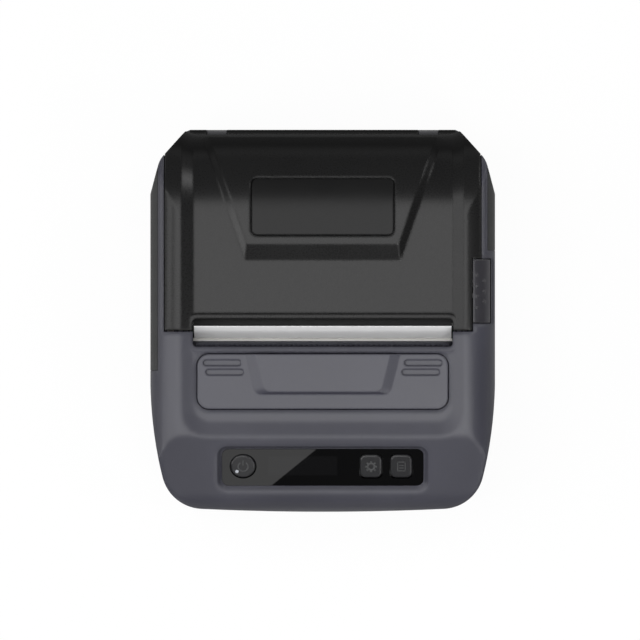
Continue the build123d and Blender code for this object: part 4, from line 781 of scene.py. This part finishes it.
@dataclass
class Keys:
    """Marks let into the three keys, drawn about each key's middle."""

    plane: PanelPlane = field(default_factory=PanelPlane)
    slot: str = "key_black"
    key_y: float = 0.4 * MM
    proud: float = 0.25 * MM
    mark: float = 0.06 * MM  # thickness of the marks
    power_x: float = -24.7 * MM
    menu_x: float = 15.0 * MM
    feed_x: float = 24.4 * MM
    ring: tuple[float, float] = (1.35 * MM, 1.75 * MM)  # radii of the power sign's ring
    ring_steps: int = 28
    ring_start: float = math.radians(125.0)
    ring_sweep: float = math.radians(290.0)
    bar: tuple[float, float, float] = (0.2 * MM, 0.4 * MM, 2.1 * MM)  # half width, low and high Y
    hub: tuple[float, float] = (0.8 * MM, 1.35 * MM)  # radii of the toothed wheel
    hub_steps: int = 24
    teeth: int = 8
    tooth: tuple[float, float, float] = (0.3 * MM, 1.25 * MM, 1.85 * MM)  # half width, low and high Y
    sheet: tuple[float, float, float] = (1.3 * MM, -1.6 * MM, 1.7 * MM)  # half width, low and high Y
    line: float = 0.3 * MM  # width of the sheet's outline and of its lines
    line_half: float = 0.7 * MM
    lines_y: tuple[float, float] = (0.2 * MM, -0.6 * MM)

    def upright(self, made: Mesher, sizes: tuple[float, float, float]) -> list[bmesh.types.BMVert]:
        """Add an upright bar.

        Args:
            made: The mark in the making.
            sizes: Half width, low and high Y of the bar.

        Returns:
            Its vertices.
        """
        half, low, high = sizes
        return made.block((-half, low, 0), (half, high, self.mark))

    def power_mark(self) -> None:
        """Broken ring and bar of a power sign."""
        made = Mesher()
        verts = made.hoop(*self.ring, self.mark, self.ring_steps, self.ring_start, self.ring_sweep)
        verts += self.upright(made, self.bar)
        made.place(verts, self.plane.at(self.power_x, self.key_y, self.proud))
        made.finish("power_mark", "power", Finish.MARK, self.slot)

    def settings_mark(self) -> None:
        """Small toothed wheel."""
        made = Mesher()
        verts = made.hoop(*self.hub, self.mark, self.hub_steps)
        for number in range(self.teeth):
            tooth = self.upright(made, self.tooth)
            made.place(tooth, Matrix.Rotation(number * math.tau / self.teeth, 4, "Z"))
            verts += tooth
        made.place(verts, self.plane.at(self.menu_x, self.key_y, self.proud))
        made.finish("settings_mark", "menu", Finish.MARK, self.slot)

    def feed_mark(self) -> None:
        """Sheet with two lines on it, for feeding paper."""
        made = Mesher()
        wide, low, high = self.sheet
        verts = []
        for a, b in (
            ((-wide, low), (-wide + self.line, high)),
            ((wide - self.line, low), (wide, high)),
            ((-wide, high - self.line), (wide, high)),
            ((-wide, low), (wide, low + self.line)),
            *(((-self.line_half, y), (self.line_half, y + self.line)) for y in self.lines_y),
        ):
            verts += made.block((*a, 0), (*b, self.mark))
        made.place(verts, self.plane.at(self.feed_x, self.key_y, self.proud))
        made.finish("feed_mark", "feed", Finish.MARK, self.slot)

    def build(self) -> None:
        """Make the three marks."""
        self.power_mark()
        self.settings_mark()
        self.feed_mark()


@dataclass
class ScrewRecessShade:
    """Dark crosses on the heads of the four case screws, painted as the shade of their crossed recesses."""

    head_z: float = 1.8 * MM
    screw_x: float = 45.0 * MM
    screw_y: float = 38.0 * MM
    reach: float = 1.25 * MM
    half_width: float = 0.3 * MM
    depth: float = 0.05 * MM

    def build(self) -> None:
        """Make the crosses as one piece."""
        made = Mesher()
        for x in (-self.screw_x, self.screw_x):
            for y in (-self.screw_y, self.screw_y):
                for wide, long in ((self.half_width, self.reach), (self.reach, self.half_width)):
                    made.block((x - wide, y - long, self.head_z - self.depth),
                               (x + wide, y + long, self.head_z + self.depth))
        made.finish("screw_recesses", "base", Finish.RECESS, "steel")


@dataclass(frozen=True)
class Softbox:
    """Soft rectangular lamp of even brightness."""

    name: str
    place: Place
    size: tuple[float, float]  # along the edge and across it
    radiance: float
    aim: Place = (0.0, 0.0, 0.05)
    edge: Place = (1.0, 0.0, 0.0)  # direction of the first side

    def build(self) -> None:
        """Put the lamp up, facing its aim, with the power that gives its radiance."""
        data = bpy.data.lights.new(self.name, "AREA")
        data.shape = "RECTANGLE"
        data.size, data.size_y = self.size
        data.energy = math.pi * self.radiance * self.size[0] * self.size[1]
        back = (Vector(self.place) - Vector(self.aim)).normalized()
        along = Vector(self.edge)
        along = (along - back * along.dot(back)).normalized()
        turn = Matrix((along, back.cross(along), back)).transposed()
        lamp = bpy.data.objects.new(self.name, data)
        lamp.matrix_world = Matrix.Translation(self.place) @ turn.to_4x4()
        lamp.visible_camera = False
        bpy.context.scene.collection.objects.link(lamp)


@dataclass
class Studio:
    """Camera of the photograph, pale floor and soft lamps."""

    aim_x: float = -0.84 * MM
    aim_y: float = 0.12 * MM
    face_z: float = 54.0 * MM
    frame_width: float = 198.4 * MM  # seen at the height of the face
    distance: float = 5.0
    sensor: float = 36.0  # millimetres, as the camera wants it
    clip: tuple[float, float] = (0.5, 30.0)
    floor_half: float = 3.0
    floor_z: float = -0.05 * MM
    floor_tone: Colour = (0.86, 0.86, 0.86)
    floor_roughness: float = 0.9
    floor_glow: float = 0.95  # share of plain white where the floor is seen
    white: Colour = (1.0, 1.0, 1.0)
    ambient: float = 0.16
    mirrored: float = 0.4  # share of the floor's white that gloss mirrors
    dim: float = 0.05  # surroundings that gloss mirrors
    glare_turn: float = math.radians(39.0)
    glare_x: float = -7.0 * MM  # where its edge crosses the panel
    glare_reach: float = 0.14
    glare_half: float = 0.015
    glare_length: float = 0.12
    glare_radiance: float = 1.15
    # The low and near lamps stand where a shoulder, a flank of the hump or a corner mirrors them upwards.
    lamps: tuple[Softbox, ...] = (
        Softbox("overhead", (-0.22, 0.05, 1.5), (1.1, 1.1), 3.5),
        Softbox("left", (-0.75, 0.05, 0.75), (1.0, 0.35), 3.4, edge=(0.0, 1.0, 0.0)),
        Softbox("front_right", (0.4, -0.6, 0.6), (0.3, 0.4), 4.5, edge=(0.8, 0.55, 0.0)),
        Softbox("rear_right", (0.6, 0.6, 0.34), (0.3, 0.3), 6.0, edge=(-0.7, 0.7, 0.0)),
        Softbox("left_low", (-0.66, -0.19, 0.27), (0.3, 0.16), 6.0, edge=(-0.32, 0.95, 0.0)),
        Softbox("corner", (0.125, -0.07, 0.3), (0.035, 0.07), 18.0, (0.0454, -0.036, 0.054), (0.0, 1.0, 0.0)),
    )

    def camera(self) -> None:
        """Look straight down through a long lens."""
        data = bpy.data.cameras.new("camera")
        data.sensor_width = self.sensor
        data.lens = self.sensor * self.distance / self.frame_width
        data.clip_start, data.clip_end = self.clip
        camera = bpy.data.objects.new("camera", data)
        camera.location = (self.aim_x, self.aim_y, self.face_z + self.distance)
        bpy.context.scene.collection.objects.link(camera)
        bpy.context.scene.camera = camera

    def glare(self) -> Softbox:
        """Lamp whose slanted edge is mirrored across the control panel.

        Returns:
            The lamp.
        """
        plane = PanelPlane()
        towards = Vector((0.0, -math.sin(2 * plane.slope), math.cos(2 * plane.slope)))
        across = Vector((1.0, 0.0, 0.0))
        upward = Vector((0.0, math.cos(2 * plane.slope), math.sin(2 * plane.slope)))
        edge = across * math.cos(self.glare_turn) + upward * math.sin(self.glare_turn)
        inward = upward * math.cos(self.glare_turn) - across * math.sin(self.glare_turn)
        crossing = Vector((self.glare_x, plane.y, plane.z))
        place = crossing + towards * self.glare_reach + inward * self.glare_half
        size, aim = (self.glare_length, 2 * self.glare_half), place - towards
        return Softbox("panel_glare", tuple(place), size, self.glare_radiance, tuple(aim), tuple(edge))

    def backdrop(self) -> None:
        """Plain pale floor that shows white and keeps a light shadow."""
        made = bmesh.new()
        bmesh.ops.create_grid(made, x_segments=1, y_segments=1, size=self.floor_half,
                              matrix=Matrix.Translation((0, 0, self.floor_z)))
        mesh = bpy.data.meshes.new("floor")
        made.to_mesh(mesh)
        made.free()
        floor = bpy.data.objects.new("floor", mesh)
        bpy.context.scene.collection.objects.link(floor)
        shade = Shade("studio_floor")
        shade.feed("Base Color", self.floor_tone)
        shade.feed("Roughness", self.floor_roughness)
        camera, glossy, through = shade.rays()
        seen = camera.most(glossy * self.mirrored).most(through)
        shade.blend(seen * self.floor_glow, shade.take("Emission", {"Color": self.white}))
        mesh.materials.append(shade.material)

    def world(self) -> None:
        """Even surroundings, white where they are seen."""
        world = bpy.data.worlds.new("surroundings")
        world.use_nodes = True
        tree = Tree(world.node_tree)
        ground = world.node_tree.nodes["Background"].inputs
        tree.enter(ground["Color"], self.white)
        camera, glossy, through = tree.rays()
        soft = glossy * (self.dim - self.ambient) + self.ambient
        tree.enter(ground["Strength"], soft.most(camera).most(through))
        bpy.context.scene.world = world

    def build(self) -> None:
        """Set up the studio."""
        self.camera()
        self.world()
        self.backdrop()
        for lamp in (*self.lamps, self.glare()):
            lamp.build()
        bpy.context.scene.view_settings.view_transform = "Standard"


@dataclass
class Wardrobe:
    """Which CAD nodes wear which finish."""

    choices: dict[Finish, tuple[str, ...]] = field(default_factory=lambda: {
        Finish.CASE: ("upper_case", "tear_bar"),
        Finish.DECK: ("deck_panel",),
        Finish.CASE_DARK: ("lower_case", "battery_cover", "paper_bay"),
        Finish.COVER: ("paper_cover",),
        Finish.INSET: ("cover_inset",),
        Finish.STRIP: ("side_strip_left", "side_strip_right"),
        Finish.BUTTON: ("release_button",),
        Finish.KEY: ("power_button", "menu_button", "feed_button"),
        Finish.PANEL: ("control_panel",),
        Finish.LIGHT: ("status_light",),
        Finish.DISPLAY: ("display_module",),
        Finish.BATTERY: ("battery_pack",),
        Finish.STEEL: ("case_screws", "pivot_shaft", "idler_shaft", "latch_pin", "hinge_pin", "cover_screws",
                       "frame_screws", "platen_shaft", "motor_shaft"),
        Finish.SHEET: ("mechanism_frame", "cover_frame", "usb_socket", "latch_lever"),
        Finish.SPRING: ("head_spring", "latch_spring"),
        Finish.HEATSINK: ("head_heatsink",),
        Finish.PLATEN: ("platen_roller",),
        Finish.FEET: ("rubber_feet",),
        Finish.NYLON: ("platen_gear", "idler_gear", "motor_pinion"),
        Finish.ACETAL: ("platen_bushes", "paper_sensor"),
        Finish.ALUMINA: ("print_head",),
        Finish.PAPER: ("paper_strip",),
        Finish.ROLL: ("paper_roll",),
        Finish.CARD: ("paper_core",),
        Finish.BOARD: ("main_board", "button_board"),
        Finish.MOTOR: ("stepper_motor",),
    })

    def build(self) -> None:
        """Dress every node."""
        for choice, names in self.choices.items():
            dress(names, choice)


def main() -> None:
    """Build the scene and report its pieces."""
    logging.basicConfig(level=logging.INFO, format="%(name)s %(message)s")
    Wardrobe().build()
    Keys().build()
    ScrewRecessShade().build()
    Studio().build()


if __name__ == "__main__":
    main()
